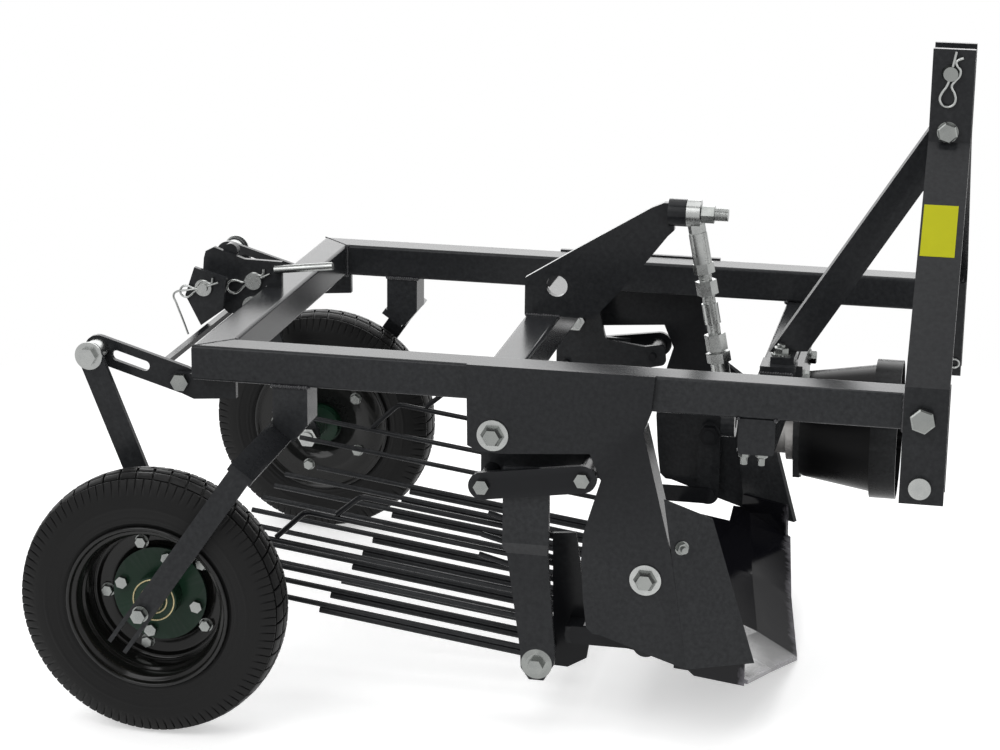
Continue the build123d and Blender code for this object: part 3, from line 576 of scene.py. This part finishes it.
def tyreProfile():
    # the carcass under the tread, once round, as (y, radius)
    half = []
    for y in range(0, int(tyre["shoulder"][0]), tyre["crownStep"]):
        half.append((y, crownRadius(y) - tread["depth"]))
    for y, radius in wallPoints():
        low = grooveDepth(radius) * tread["floor"]
        down = tread["sunkTop"] if radius > tread["topFrom"] else tread["sunkWall"]
        raised = sum(tyre["ringHeight"] for ring in tyre["rings"] if abs(radius - ring) < tyre["ringHalf"])
        half.append((y - low * tread["sunkAcross"] + raised, radius - low * down))
    half += tyre["inside"]
    return half + [(-y, radius) for y, radius in reversed(half) if y > 0]


def block(shell, outline, start, end):
    # one tread block over a stretch of the outer profile; start and end say where its edges begin and finish
    pitch = 2 * math.pi / tread["pitches"]
    rows = []
    for index, (y, radius, depth) in enumerate(outline):
        share = index / (len(outline) - 1)
        first = start[0] + (start[1] - start[0]) * share
        last = end[0] + (end[1] - end[0]) * share
        corners = [(first, radius - depth, y * tread["taper"])]
        for turn in (first, first + tread["edge"], last - tread["edge"], last):
            outer = turn in (first, last) or index in (0, len(outline) - 1)
            corners.append((turn, radius - (tread["chamfer"] if outer else 0.0), y))
        corners.append((last, radius - depth, y * tread["taper"]))
        rows.append([
            shell.verts.new((math.sin(turn * pitch) * reach, side, math.cos(turn * pitch) * reach))
            for turn, reach, side in corners
        ])
    for near, far in zip(rows, rows[1:]):
        for index in range(len(near) - 1):
            shell.faces.new((near[index], near[index + 1], far[index + 1], far[index]))
    shell.faces.new(rows[0])
    shell.faces.new(list(reversed(rows[-1])))


def makePitch():
    # the blocks of one pitch: three ribs over the crown and tapered lugs over both shoulders
    shell = bmesh.new()
    steps = tread["ribSteps"]
    for first, last, length, offset in tread["ribs"]:
        rows = [first + (last - first) * step / steps for step in range(steps + 1)]
        outline = [(y, crownRadius(y), tread["depth"] + tread["ribRoot"]) for y in rows]
        slant = tread["slant"] if first > 0 else -tread["slant"]
        block(shell, outline, (offset, offset + slant), (offset + length, offset + length + slant))
    start = tread["lugStart"]
    shoulder = [(y, radius) for y, radius in wallPoints() if radius > tread["lugEnd"]]
    for hand in (-1, 1):
        outline = [(hand * start, crownRadius(start), tread["depth"] + tread["ribRoot"])]
        outline += [(hand * y, radius, grooveDepth(radius) + tread["lugRoot"]) for y, radius in shoulder]
        for offset in tread["lugOffsets"]:
            edges = [(offset + top, offset + tip) for top, tip in zip(tread["lugTop"], tread["lugTip"])]
            block(shell, outline, *edges)
    bmesh.ops.scale(shell, vec=(millimetre,) * 3, verts=shell.verts)
    return finished("pitch", shell)


def makeTyres():
    # the carcass is turned from its profile, and a tree sets the pitch of tread blocks round it
    carcass = turned("carcass", tyreProfile(), tyre["segments"])
    pitch = bpy.data.objects.new("pitch", makePitch())
    bpy.context.scene.collection.objects.link(pitch)
    tree = Geometry("treadRound", Pitches=tread["pitches"], Pitch=pitch, Rubber=materials["tyre_rubber"])
    points = tree.add("GeometryNodePoints", Count=tree.input("Pitches"))
    whole = tree.maths("DIVIDE", 2 * math.pi, tree.input("Pitches"))
    turn = tree.maths("MULTIPLY", tree.add("GeometryNodeInputIndex"), whole)
    spin = tree.add("ShaderNodeCombineXYZ", Y=turn)
    blocks = tree.add("GeometryNodeObjectInfo", output="Geometry", Object=tree.input("Pitch"))
    around = tree.add("GeometryNodeInstanceOnPoints", Points=points, Instance=blocks, Rotation=spin)
    joined = tree.add("GeometryNodeJoinGeometry", Geometry=[around, tree.input("Geometry")])
    tree.close(joined, tree.input("Rubber"))
    grown = tree.grow("tyreMesh", carcass)
    bpy.data.objects.remove(pitch)
    x, y, z = tyre["centre"]
    for side, hand in sides:
        mesh = grown.copy()
        mesh.transform(Matrix.Translation(at(x, hand * y, z)))
        dress(f"tyreTread_{side}", mesh, materials["tyre_rubber"], f"wheel_{side}", [f"tyre_{side}"])


makeTyres()
print("tyres")

# The rim's section as (y, radius) outwards from the wheel's middle plane: rolled lip, bead seat, well, disc,
# and back under the well to the lip
rim = {
    "segments": 144,
    "profile": [
        (34.5, 118), (37.5, 116.5), (37.8, 113.5), (35.5, 111.8), (32.5, 111.5), (30.5, 109.5),
        (29.8, 106.0), (27.5, 104.0), (14.5, 102.5), (12.0, 101.5), (10.5, 98.5), (8.0, 97.5),
        (-13.0, 96.5), (-17.0, 96.8), (-19.0, 99.5), (-24.0, 100.5), (-27.5, 99.0), (-29.0, 95.0),
        (-28.0, 91.0), (-28.0, 88.0), (-29.0, 85.5), (-29.0, 36), (-34, 36), (-34, 97), (-32.0, 107.0),
        (-33.5, 111.5), (-37.8, 113.5), (-37.5, 116.5), (-34.5, 118), (-31.5, 115.0), (-29.5, 110),
        (-26, 106.5), (-20, 104), (-16, 99.5), (6, 100.5), (10, 104.5), (26, 107), (30, 112),
    ],
}


def makeRims():
    x, y, z = tyre["centre"]
    for side, hand in sides:
        profile = [(hand * out, radius) for out, radius in rim["profile"]]
        mesh = turned(f"rim_{side}", profile, rim["segments"])
        mesh.transform(Matrix.Translation(at(x, hand * y, z)))
        dress(f"rimTurned_{side}", mesh, materials["rim_paint"], f"wheel_{side}", [f"rim_{side}"])


makeRims()
print("rims")

# Bolt heads that are one solid with a painted piece: their axes as (x, z), the reach round them, and how far
# from the middle plane they begin
platedHeads = {
    "leg_straps": ([(419, -168), (559, -148)], 12.5, 365.2),
    "adjuster_brackets": ([(-27, -63)], 12.5, 318.5),
}
hubHeads = {"circle": 56.0, "reach": 10.5, "from": 425.5}
leverNut = {"from": 666.4}  # x of the nut's inner face on the lever plate
rodFoot = {"below": -118.0}  # height under which the rod is painted black

# Pivot bolts that get their true small hexagons: node, body, axis as (x, z), where the head begins and
# its scale
slimHeads = [
    ("rocker_bolts", "rocker", (432, -96), 360.2, 0.68),
    ("hanger_bolts", "frame", (648.5, -288), 360.2, 0.68),
    ("sieve_frame", "sieve", (499.5, -423), 368.2, 0.68),
    ("mast_pins", "frame", (1012.5, 378), 35.2, 0.78),
    ("wheel_axles", "frame", (-28, -342), 504.9, 0.62),
]
slimming = {"reach": 30.0, "washer": 3.4, "washerReach": 23.5, "hangerInside": 334.5, "merge": 0.01}


def refinish(mesh, finish, chosen):
    # gives the chosen faces of a mesh another finish beside its own
    if finish.name not in mesh.materials:
        mesh.materials.append(finish)
    slot = mesh.materials.find(finish.name)
    for face in mesh.polygons:
        if chosen(face.center):
            face.material_index = slot


def plateHeads():
    # zinc on the bolt heads and nuts of painted solids, black paint on the rod's foot
    nodes = frame["nodes"]
    for node, (places, reach, start) in platedHeads.items():
        for x, z in places:
            axis = at(x, 0, z)
            refinish(nodes[node].data, materials["bolt"], lambda centre: (
                abs(centre.y) > start * millimetre and aside(centre, axis) < reach * millimetre
            ))
    blackBelow = at(0, 0, rodFoot["below"]).z
    refinish(nodes["drive_rod"].data, materials["black_paint"], lambda centre: centre.z < blackBelow)
    nut = at(leverNut["from"], 0, 0).x
    refinish(nodes["lever_plate"].data, materials["bolt"], lambda centre: centre.x > nut)
    axle = at(tyre["centre"][0], 0, tyre["centre"][2])
    circle, reach, start = (hubHeads[key] * millimetre for key in ("circle", "reach", "from"))
    for side in dict(sides):
        refinish(nodes[f"hub_{side}"].data, materials["bolt"], lambda centre: (
            abs(aside(centre, axle) - circle) < reach and abs(centre.y) > start
        ))


def slimBolts():
    # the pivot bolts with their true small hexagons, on copies of the solids
    for node, body, (x, z), head, scale in slimHeads:
        mesh = frame["nodes"][node].data.copy()
        own = mesh.materials[0]
        axis = at(x, 0, z)
        shell = bmesh.new()
        shell.from_mesh(mesh)
        bmesh.ops.remove_doubles(shell, verts=shell.verts, dist=slimming["merge"] * millimetre)
        for vertex in shell.verts:
            place = vertex.co
            if aside(place, axis) < slimming["reach"] * millimetre and abs(place.y) > head * millimetre:
                place.x = axis.x + (place.x - axis.x) * scale
                place.z = axis.z + (place.z - axis.z) * scale
        shell.to_mesh(mesh)
        shell.free()
        dress(f"{node}_plated", mesh, own, body, [node])
        if node == "hanger_bolts":
            inside = slimming["hangerInside"] * millimetre
            refinish(mesh, materials["black_paint"], lambda centre: abs(centre.y) < inside)
        # on a zinc bolt the head alone is darker, and on a painted piece the washer is plated with it
        start = (head if own == materials["zinc"] else head - slimming["washer"]) * millimetre
        reach = slimming["washerReach"] * millimetre
        refinish(mesh, materials["bolt"], lambda centre: (
            abs(centre.y) > start and aside(centre, axis) < reach
        ))


plateHeads()
slimBolts()
print("bolt heads")

# Millimetres: hexagon across its corners, washer under it and the shank's end on top
boltSizes = {
    "hitch": {"radius": 17.5, "height": 12.0, "washer": 15.0, "thick": 1.0, "stub": 0.0},
    "wing": {"radius": 8.5, "height": 6.0, "washer": 10.0, "thick": 1.6, "stub": 6.0},
    "stud": {"radius": 8.5, "height": 7.0, "washer": 10.0, "thick": 2.0, "stub": 12.0},
    "foot": {"radius": 11.0, "height": 8.0, "washer": 14.0, "thick": 2.5, "stub": 5.0},
    "wheel": {"radius": 9.2, "height": 7.0, "washer": 10.0, "thick": 1.0, "stub": 0.0},
    "plate": {"radius": 10.0, "height": 7.0, "washer": 12.0, "thick": 2.0, "stub": 0.0},
    "mast": {"radius": 15.0, "height": 9.2, "washer": 15.0, "thick": 1.0, "stub": 0.0},
}
boltForm = {
    "chamfer": 1.2,
    "chamferTop": 0.86,  # shares of the hexagon's radius
    "shank": 0.55,
    "washerSides": 32,
    "shankSides": 20,
    "seed": 7,
}

# Size, body, place, direction it faces, and whether the far side has one too
bolts = [
    ("hitch", "frame", (1012, -359, -30), (0, -1, 0), True),
    ("wing", "frame", (696, -349.5, -240), (0.47, -0.88, 0), True),
    ("stud", "frame", (774, -325, -100), (0, 0, -1), True),
    ("stud", "frame", (798, -325, -100), (0, 0, -1), True),
    ("foot", "frame", (797, -86, -30), (0, 0, 1), False),
    ("plate", "frame", (827, -56, -70), (1, 0, 0), True),
    ("plate", "frame", (827, -30, -218), (1, 0, 0), True),
    ("mast", "frame", (1012.5, -35, 295), (0, -1, 0), True),
]
rimBolts = {"circle": 78.0, "count": 5, "start": 38.0, "outside": 418.0, "inside": 413.0}


def addRimBolts():
    # a head outside and one inside the disc, five times round each wheel
    for index in range(rimBolts["count"]):
        turn = math.radians(rimBolts["start"] + index * 360 / rimBolts["count"])
        x = tyre["centre"][0] + rimBolts["circle"] * math.cos(turn)
        z = tyre["centre"][2] + rimBolts["circle"] * math.sin(turn)
        for side, hand in sides:
            for face, way in ((rimBolts["outside"], hand), (rimBolts["inside"], -hand)):
                bolts.append(("wheel", f"wheel_{side}", (x, hand * face, z), (0, way, 0), False))


def boltTree(size):
    # a chamfered hexagon on its washer, set on each place and turned at random
    sizes = {label.capitalize(): value * millimetre for label, value in boltSizes[size].items()}
    tree = Geometry(f"{size}Bolts", **sizes, Seed=boltForm["seed"], Zinc=materials["bolt"])
    radius, height, thick = tree.input("Radius"), tree.input("Height"), tree.input("Thick")
    washer = tree.add(
        "GeometryNodeMeshCylinder", Vertices=boltForm["washerSides"], Radius=tree.input("Washer"),
        Depth=thick,
    )
    head = tree.add("GeometryNodeMeshCylinder", Vertices=6, Radius=radius, Depth=height)
    chamfer = tree.add(
        "GeometryNodeMeshCone", Vertices=6, Radius_Bottom=radius, Depth=boltForm["chamfer"] * millimetre,
        Radius_Top=tree.maths("MULTIPLY", radius, boltForm["chamferTop"]),
    )
    top = tree.maths("ADD", thick, height)
    middle = tree.maths("ADD", thick, tree.maths("MULTIPLY", height, 0.5))
    parts = [
        tree.raised(washer, tree.maths("MULTIPLY", thick, 0.5)),
        tree.raised(head, middle),
        tree.raised(chamfer, top),
    ]
    if sizes["Stub"]:
        shank = tree.add(
            "GeometryNodeMeshCylinder", Vertices=boltForm["shankSides"], Depth=tree.input("Stub"),
            Radius=tree.maths("MULTIPLY", radius, boltForm["shank"]),
        )
        half = tree.maths("MULTIPLY", tree.input("Stub"), 0.5)
        parts.append(tree.raised(shank, tree.maths("ADD", top, half)))
    bolt = tree.add("GeometryNodeJoinGeometry", Geometry=parts)
    way = tree.add("GeometryNodeInputNamedAttribute", {"data_type": "FLOAT_VECTOR"}, Name="facing")
    lean = tree.add("FunctionNodeAlignRotationToVector", {"axis": "Z"}, Vector=way)
    twist = tree.add("FunctionNodeRandomValue", output=1, Seed=tree.input("Seed"))
    twist = tree.add("ShaderNodeCombineXYZ", Z=twist)
    lean = tree.add(
        "FunctionNodeRotateRotation", {"rotation_space": "LOCAL"}, Rotation=lean, Rotate_By=twist,
    )
    placed = tree.add(
        "GeometryNodeInstanceOnPoints", Points=tree.input("Geometry"), Instance=bolt, Rotation=lean,
    )
    tree.close(placed, tree.input("Zinc"))
    return tree


def makeBolts():
    # one mesh for each size of bolt on each body
    for size, owner in sorted({row[:2] for row in bolts}):
        points, facing = [], []
        for kind, body, (x, y, z), (wayX, wayY, wayZ), mirrored in bolts:
            if (kind, body) == (size, owner):
                for hand in (1, -1) if mirrored else (1,):
                    points.append(at(x, y * hand, z))
                    facing.append((wayX, wayY * hand, wayZ))
        seed = seedMesh(f"{size}Places", points, facing=facing)
        dress(f"{size}Bolts_{owner}", boltTree(size).grow(f"{size}BoltMesh", seed), materials["bolt"], owner)


addRimBolts()
makeBolts()
print("bolts")

# Millimetres; the rod's threads are stretches of its length from its top eye
thread = {
    "pitch": 2.2,
    "rise": 0.7,
    "rodRadius": 9.2,
    "rodTop": (656, -14, 154),
    "rodFoot": (718, -14, -156),
    "rodStretches": ((90, 101), (122, 135), (166, 182)),
    "eyeRadius": 8.8,
    "eyeStart": (686.5, -14, 154),
    "eyeLength": 19,
    "turnSteps": 24,
    "ridgeSides": 5,
}


def spiral(name, start, direction, length, radius, body):
    # the ridge of a screw thread, wound round a straight stretch
    sizes = {"Length": length, "Radius": radius, "Pitch": thread["pitch"], "Rise": thread["rise"]}
    sizes = {label: value * millimetre for label, value in sizes.items()}
    tree = Geometry(f"{name}Tree", **sizes, Zinc=materials["zinc"])
    turns = tree.maths("DIVIDE", tree.input("Length"), tree.input("Pitch"))
    winding = tree.add(
        "GeometryNodeCurveSpiral", Resolution=thread["turnSteps"], Rotations=turns,
        Start_Radius=tree.input("Radius"), End_Radius=tree.input("Radius"), Height=tree.input("Length"),
    )
    ridge = tree.add(
        "GeometryNodeCurvePrimitiveCircle", Resolution=thread["ridgeSides"], Radius=tree.input("Rise"),
    )
    tree.close(tree.add("GeometryNodeCurveToMesh", Curve=winding, Profile_Curve=ridge), tree.input("Zinc"))
    mesh = tree.grow(f"{name}Mesh", seedMesh(f"{name}Seed", [(0, 0, 0)]))
    turn = Vector(direction).to_track_quat("Z", "Y").to_matrix().to_4x4()
    mesh.transform(Matrix.Translation(at(*start)) @ turn)
    dress(name, mesh, materials["zinc"], body)


def makeThreads():
    top = Vector(thread["rodTop"])
    way = (Vector(thread["rodFoot"]) - top).normalized()
    for index, (first, last) in enumerate(thread["rodStretches"]):
        spiral(f"rodThread_{index}", top + way * first, way, last - first, thread["rodRadius"], "rod")
    spiral("eyeThread", thread["eyeStart"], (1, 0, 0), thread["eyeLength"], thread["eyeRadius"], "rocker")


makeThreads()
print("threads")

bead = {"step": 3.4, "radius": 3.4, "flat": 0.75, "spread": 0.35, "segments": 10, "rings": 6, "seed": 3}

# Piece, body, size of its beads, and its lines, each with whether the far side has it too
seams = [
    ("frameWelds", "frame", 1.0, [
        (True, [(117, -349, -50), (117, -299, -50), (167, -299, -50), (167, -349, -50), (117, -349, -50)]),
        (True, [(767, -349, -50), (767, -299, -50)]),
        (True, [(817, -299, -50), (817, -349, -50)]),
        (True, [(50, -299, -50), (50, -299, -2)]),
        (True, [(986, -349, -2), (986, -349, -50)]),
        (True, [(986, -299, -2), (986, -299, -50)]),
        (True, [(50, -299, -50), (2, -299, -50)]),
        (False, [(772, -118, -50), (815, -118, -50)]),
    ]),
    ("rockerWelds", "rocker", 1.0, [
        (True, [(412, -284, -62), (412, -284, -14), (458, -284, -14), (458, -284, -62)]),
    ]),
    ("frameFlushWelds", "frame", 0.42, [
        (True, [(1, -348, -0.6), (49, -300, -0.6)]),
    ]),
    ("rockerMiddleWelds", "rocker", 1.0, [
        (False, [(412, -20, -12), (459, -20, -12)]),
        (False, [(412, -8, -12), (459, -8, -12)]),
    ]),
]


def makeWelds():
    # overlapping drops of random size along each seam
    for name, body, size, lines in seams:
        points, edges = [], []
        for mirrored, line in lines:
            for hand in (1, -1) if mirrored else (1,):
                edges += [(len(points) + index, len(points) + index + 1) for index in range(len(line) - 1)]
                points += [at(x, y * hand, z) for x, y, z in line]
        tree = Geometry(
            f"{name}Tree", Step=bead["step"] * millimetre * size, Radius=bead["radius"] * millimetre * size,
            Flat=bead["flat"], Seed=bead["seed"], Weld=materials["weld"],
        )
        path = tree.add("GeometryNodeMeshToCurve", Mesh=tree.input("Geometry"))
        path = tree.add(
            "GeometryNodeResampleCurve", {"mode": "LENGTH"}, Curve=path, Length=tree.input("Step"),
        )
        drop = tree.add(
            "GeometryNodeMeshUVSphere", Segments=bead["segments"], Rings=bead["rings"],
            Radius=tree.input("Radius"),
        )
        drop = tree.add("GeometryNodeSetShadeSmooth", Geometry=drop)
        scale = tree.add("FunctionNodeRandomValue", output=1, Seed=tree.input("Seed"))
        scale = tree.maths("ADD", tree.maths("MULTIPLY", scale, bead["spread"]), tree.input("Flat"))
        beads = tree.add("GeometryNodeInstanceOnPoints", Points=path, Instance=drop, Scale=scale)
        tree.close(beads, tree.input("Weld"))
        mesh = tree.grow(f"{name}Mesh", seedMesh(f"{name}Lines", points, edges))
        dress(name, mesh, materials["weld"], body)


makeWelds()
print("welds")

wire = {
    "radius": 2.0,
    "thin": 1.6,
    "small": 0.85,  # share of the radius on clips of less than nine tenths of the whole size
    "wholeFrom": 0.9,
    "roundness": 4,
    "smoothness": 8,
}

# A spring clip as (along, across) from the hole that it passes through: straight leg, loop, waved leg
clipShape = [
    (32, 4.5), (12, 2.0), (-10, -1.2), (-18, -3.6), (-27, -8.6), (-36, -10.8), (-43, -7.8), (-46.5, 0),
    (-43, 7.8), (-36, 10.8), (-27, 8.6), (-17, 3.4), (-9, 7.2), (-1, 12.6), (7, 12.4), (13, 7.0), (18, 6.0),
    (24, 15),
]

# Place of the hole, lean in radians from upright, size, and which way the waved leg lies
clips = {
    "mastClip": ((1012, -40.5, 378), 0.06, 1.0, 1),
    "bracketClip": ((-17, 1.0, 7), 1.25, 0.92, -1),
    "linkClip": ((-84, -38.5, 2), 1.32, 0.8, -1),
}
hitchClip = {"hole": (1013, 285, -125), "lean": -1.43, "size": 0.62}

# The loose safety wire on the adjuster's link
linkWire = [
    (-92, -38.5, 1), (-110, -38.5, -3), (-127, -38.5, -7), (-131, -38.5, -12), (-127, -38.5, -24),
    (-117, -38.5, -50), (-109, -38.5, -72),
]


def makeWire(name, points, radius, body):
    # a bent wire through the given points
    curve = bpy.data.curves.new(name, "CURVE")
    curve.dimensions = "3D"
    curve.bevel_depth = radius * millimetre
    curve.bevel_resolution = wire["roundness"]
    curve.use_fill_caps = True
    curve.resolution_u = wire["smoothness"]
    line = curve.splines.new("BEZIER")
    line.bezier_points.add(len(points) - 1)
    for knot, point in zip(line.bezier_points, points):
        knot.co = at(*point)
        knot.handle_left_type = knot.handle_right_type = "AUTO"
    holder = bpy.data.objects.new(name, curve)
    bpy.context.scene.collection.objects.link(holder)
    mesh = evaluated(name, holder)
    for face in mesh.polygons:
        face.use_smooth = True
    dress(name, mesh, materials["zinc"], body)


def makeClip(name, hole, lean, size, flip=1):
    # a spring clip across a pin that lies along Y; it leans in the plane across that pin
    along = Vector((math.sin(lean), 0, math.cos(lean)))
    across = Vector((math.cos(lean), 0, -math.sin(lean))) * flip
    points = [Vector(hole) + along * (u * size) + across * (v * size) for u, v in clipShape]
    makeWire(name, points, wire["radius"] * (1 if size > wire["wholeFrom"] else wire["small"]), "frame")


def makeClips():
    for name, row in clips.items():
        makeClip(name, *row)
    makeWire("linkWire", linkWire, wire["thin"], "frame")
    x, y, z = hitchClip["hole"]
    for side, hand in sides:
        makeClip(f"hitchClip_{side}", (x, hand * y, z), hitchClip["lean"], hitchClip["size"])


makeClips()
print("clips")

# Millimetres; the upper and lower edges are (y, z) on the leaning face of the right-hand mast plate
sticker = {
    "x": (989.0, 1036.0),
    "upper": (-123.0, 208.4),
    "lower": (-191.5, 151.2),
    "outwards": (0, -0.64, 0.77),
    "lift": 0.5,
    "thick": 0.35,
}


def makeSticker():
    # a thin blank sheet
    out = Vector(sticker["outwards"]).normalized()
    rear, front = sticker["x"]
    upper, lower = sticker["upper"], sticker["lower"]
    corners = [Vector(corner) for corner in (
        (rear, *upper), (front, *upper), (front, *lower), (rear, *lower),
    )]
    shell = bmesh.new()
    top, bottom = (
        [shell.verts.new(at(*(corner + out * height))) for corner in corners]
        for height in (sticker["lift"], sticker["lift"] - sticker["thick"])
    )
    shell.faces.new(top)
    shell.faces.new(list(reversed(bottom)))
    for index in range(4):
        after = (index + 1) % 4
        shell.faces.new((top[index], top[after], bottom[after], bottom[index]))
    dress("blankLabel", finished("sticker", shell), materials["label"], "frame")


seal = {"radii": (29.5, 19.0), "thick": 1.3, "flat": 0.6, "sides": 8, "segments": 96, "face": 452.5}


def makeSeals():
    # bearing rings on the outer faces of the hubs
    x, y, z = tyre["centre"]
    corners = [2 * math.pi * step / seal["sides"] for step in range(seal["sides"])]
    for side, hand in sides:
        for index, radius in enumerate(seal["radii"]):
            ring = [
                (seal["thick"] * seal["flat"] * math.sin(turn), radius + seal["thick"] * math.cos(turn))
                for turn in corners
            ]
            mesh = turned(f"seal_{side}_{index}", ring, seal["segments"])
            mesh.transform(Matrix.Translation(at(x, hand * seal["face"], z)))
            dress(f"bearingSeal_{side}_{index}", mesh, materials["ring"], f"wheel_{side}")


makeSticker()
makeSeals()
print("label and seals")

# Place in millimetres from the scene's origin and turn in degrees, at the photograph's viewing angle
camera = {
    "place": (704.34, -3653.47, 1487.09),
    "turn": (74.107, -0.818, 11.208),
    "sensor": 36,
    "lens": 92.75,
    "shift": (-0.02713, -0.00442),
}


def makeCamera():
    lens = bpy.data.cameras.new("camera")
    lens.sensor_width = camera["sensor"]
    lens.lens = camera["lens"]
    lens.shift_x, lens.shift_y = camera["shift"]
    holder = bpy.data.objects.new("camera", lens)
    bpy.context.scene.collection.objects.link(holder)
    holder.location = Vector(camera["place"]) * millimetre
    holder.rotation_euler = Euler([math.radians(angle) for angle in camera["turn"]])
    bpy.context.scene.camera = holder


# Place, target, size and power of each soft lamp
lamps = {
    "key": ((-1.6, -3.2, 3.6), (0.0, 0.0, 0.45), 3.0, 80.0),
    "fill": ((3.4, -2.4, 2.0), (0.0, 0.0, 0.4), 2.4, 18.0),
    "top": ((0.2, 0.4, 3.9), (0.0, 0.0, 0.4), 3.4, 60.0),
    "back": ((-0.8, 4.2, 2.0), (0.0, 0.0, 0.5), 4.0, 85.0),
}
# What reflections see: white up to one height of the sky, and a dim ceiling above another
sky = {"whiteBelow": 0.36, "dimAbove": 0.62, "ceiling": 0.22, "ambient": 0.35}
ground = {
    "half": 14.0,
    "drop": 0.0005,
    "colour": (0.90, 0.90, 0.90),
    "roughness": 0.9,
    "start": 0.95,  # where it begins to run out into white, and over what width
    "width": 0.9,
    "lift": 0.48,
}


def makeLamps():
    for name, (place, target, size, power) in lamps.items():
        light = bpy.data.lights.new(name, "AREA")
        light.size = size
        light.energy = power
        lamp = bpy.data.objects.new(name, light)
        bpy.context.scene.collection.objects.link(lamp)
        lamp.location = place
        lamp.visible_camera = False
        lamp.rotation_euler = (Vector(target) - Vector(place)).to_track_quat("-Z", "Y").to_euler()


def makeSky():
    # white for the camera and towards the horizon in reflections, a plain level for everything else
    world = bpy.data.worlds.new("studio")
    world.use_nodes = True
    bpy.context.scene.world = world
    nodes = Nodes(world.node_tree)
    direct, glossy, through = nodes.seen()
    place = nodes.add("ShaderNodeTexCoord", output="Generated")
    height = nodes.add("ShaderNodeSeparateXYZ", output="Z", Vector=place)
    above = nodes.add(
        "ShaderNodeMapRange", Value=height, From_Min=sky["whiteBelow"], From_Max=sky["dimAbove"],
        To_Min=1.0, To_Max=sky["ceiling"],
    )
    level = nodes.add(
        "ShaderNodeMapRange", Value=direct.larger(glossy).larger(through), To_Min=sky["ambient"],
        To_Max=direct.larger(above),
    )
    background = world.node_tree.nodes["Background"]
    nodes.put(background.inputs["Color"], (1.0, 1.0, 1.0))
    nodes.put(background.inputs["Strength"], level)


def paleFinish():
    # pale near the machine, where its shadow falls, and running out into the white background
    pale = Finish("paleFloor")
    pale.finish(Base_Color=ground["colour"], Roughness=ground["roughness"])
    reach = (pale.along(0) * pale.along(0) + pale.along(1) * pale.along(1)) ** 0.5
    far = ((reach - ground["start"]) / ground["width"]).clamped()
    direct, glossy, through = pale.seen()
    seen = (direct + glossy + through).clamped()
    glow = pale.add("ShaderNodeEmission", Color=(1.0, 1.0, 1.0), Strength=1.0)
    lift = pale.add("ShaderNodeEmission", Color=(1.0, 1.0, 1.0), Strength=seen * ground["lift"])
    plain = Value(pale.tree, pale.shader.outputs[0])
    lit = pale.add("ShaderNodeAddShader", Shader=plain, Shader_001=lift)
    blend = pale.add("ShaderNodeMixShader", Fac=far * seen, Shader=lit, Shader_001=glow)
    pale.put(pale.tree.nodes["Material Output"].inputs["Surface"], blend)
    return pale.material


def makeFloor():
    half = ground["half"]
    mesh = bpy.data.meshes.new("floor")
    corners = [(-half, -half, 0), (half, -half, 0), (half, half, 0), (-half, half, 0)]
    mesh.from_pydata(corners, [], [(0, 1, 2, 3)])
    mesh.materials.append(paleFinish())
    floor = bpy.data.objects.new("floor", mesh)
    bpy.context.scene.collection.objects.link(floor)
    floor.location.z = -ground["drop"]


makeCamera()
makeLamps()
makeSky()
makeFloor()
bpy.context.scene.view_settings.view_transform = "Standard"
print("camera and studio")
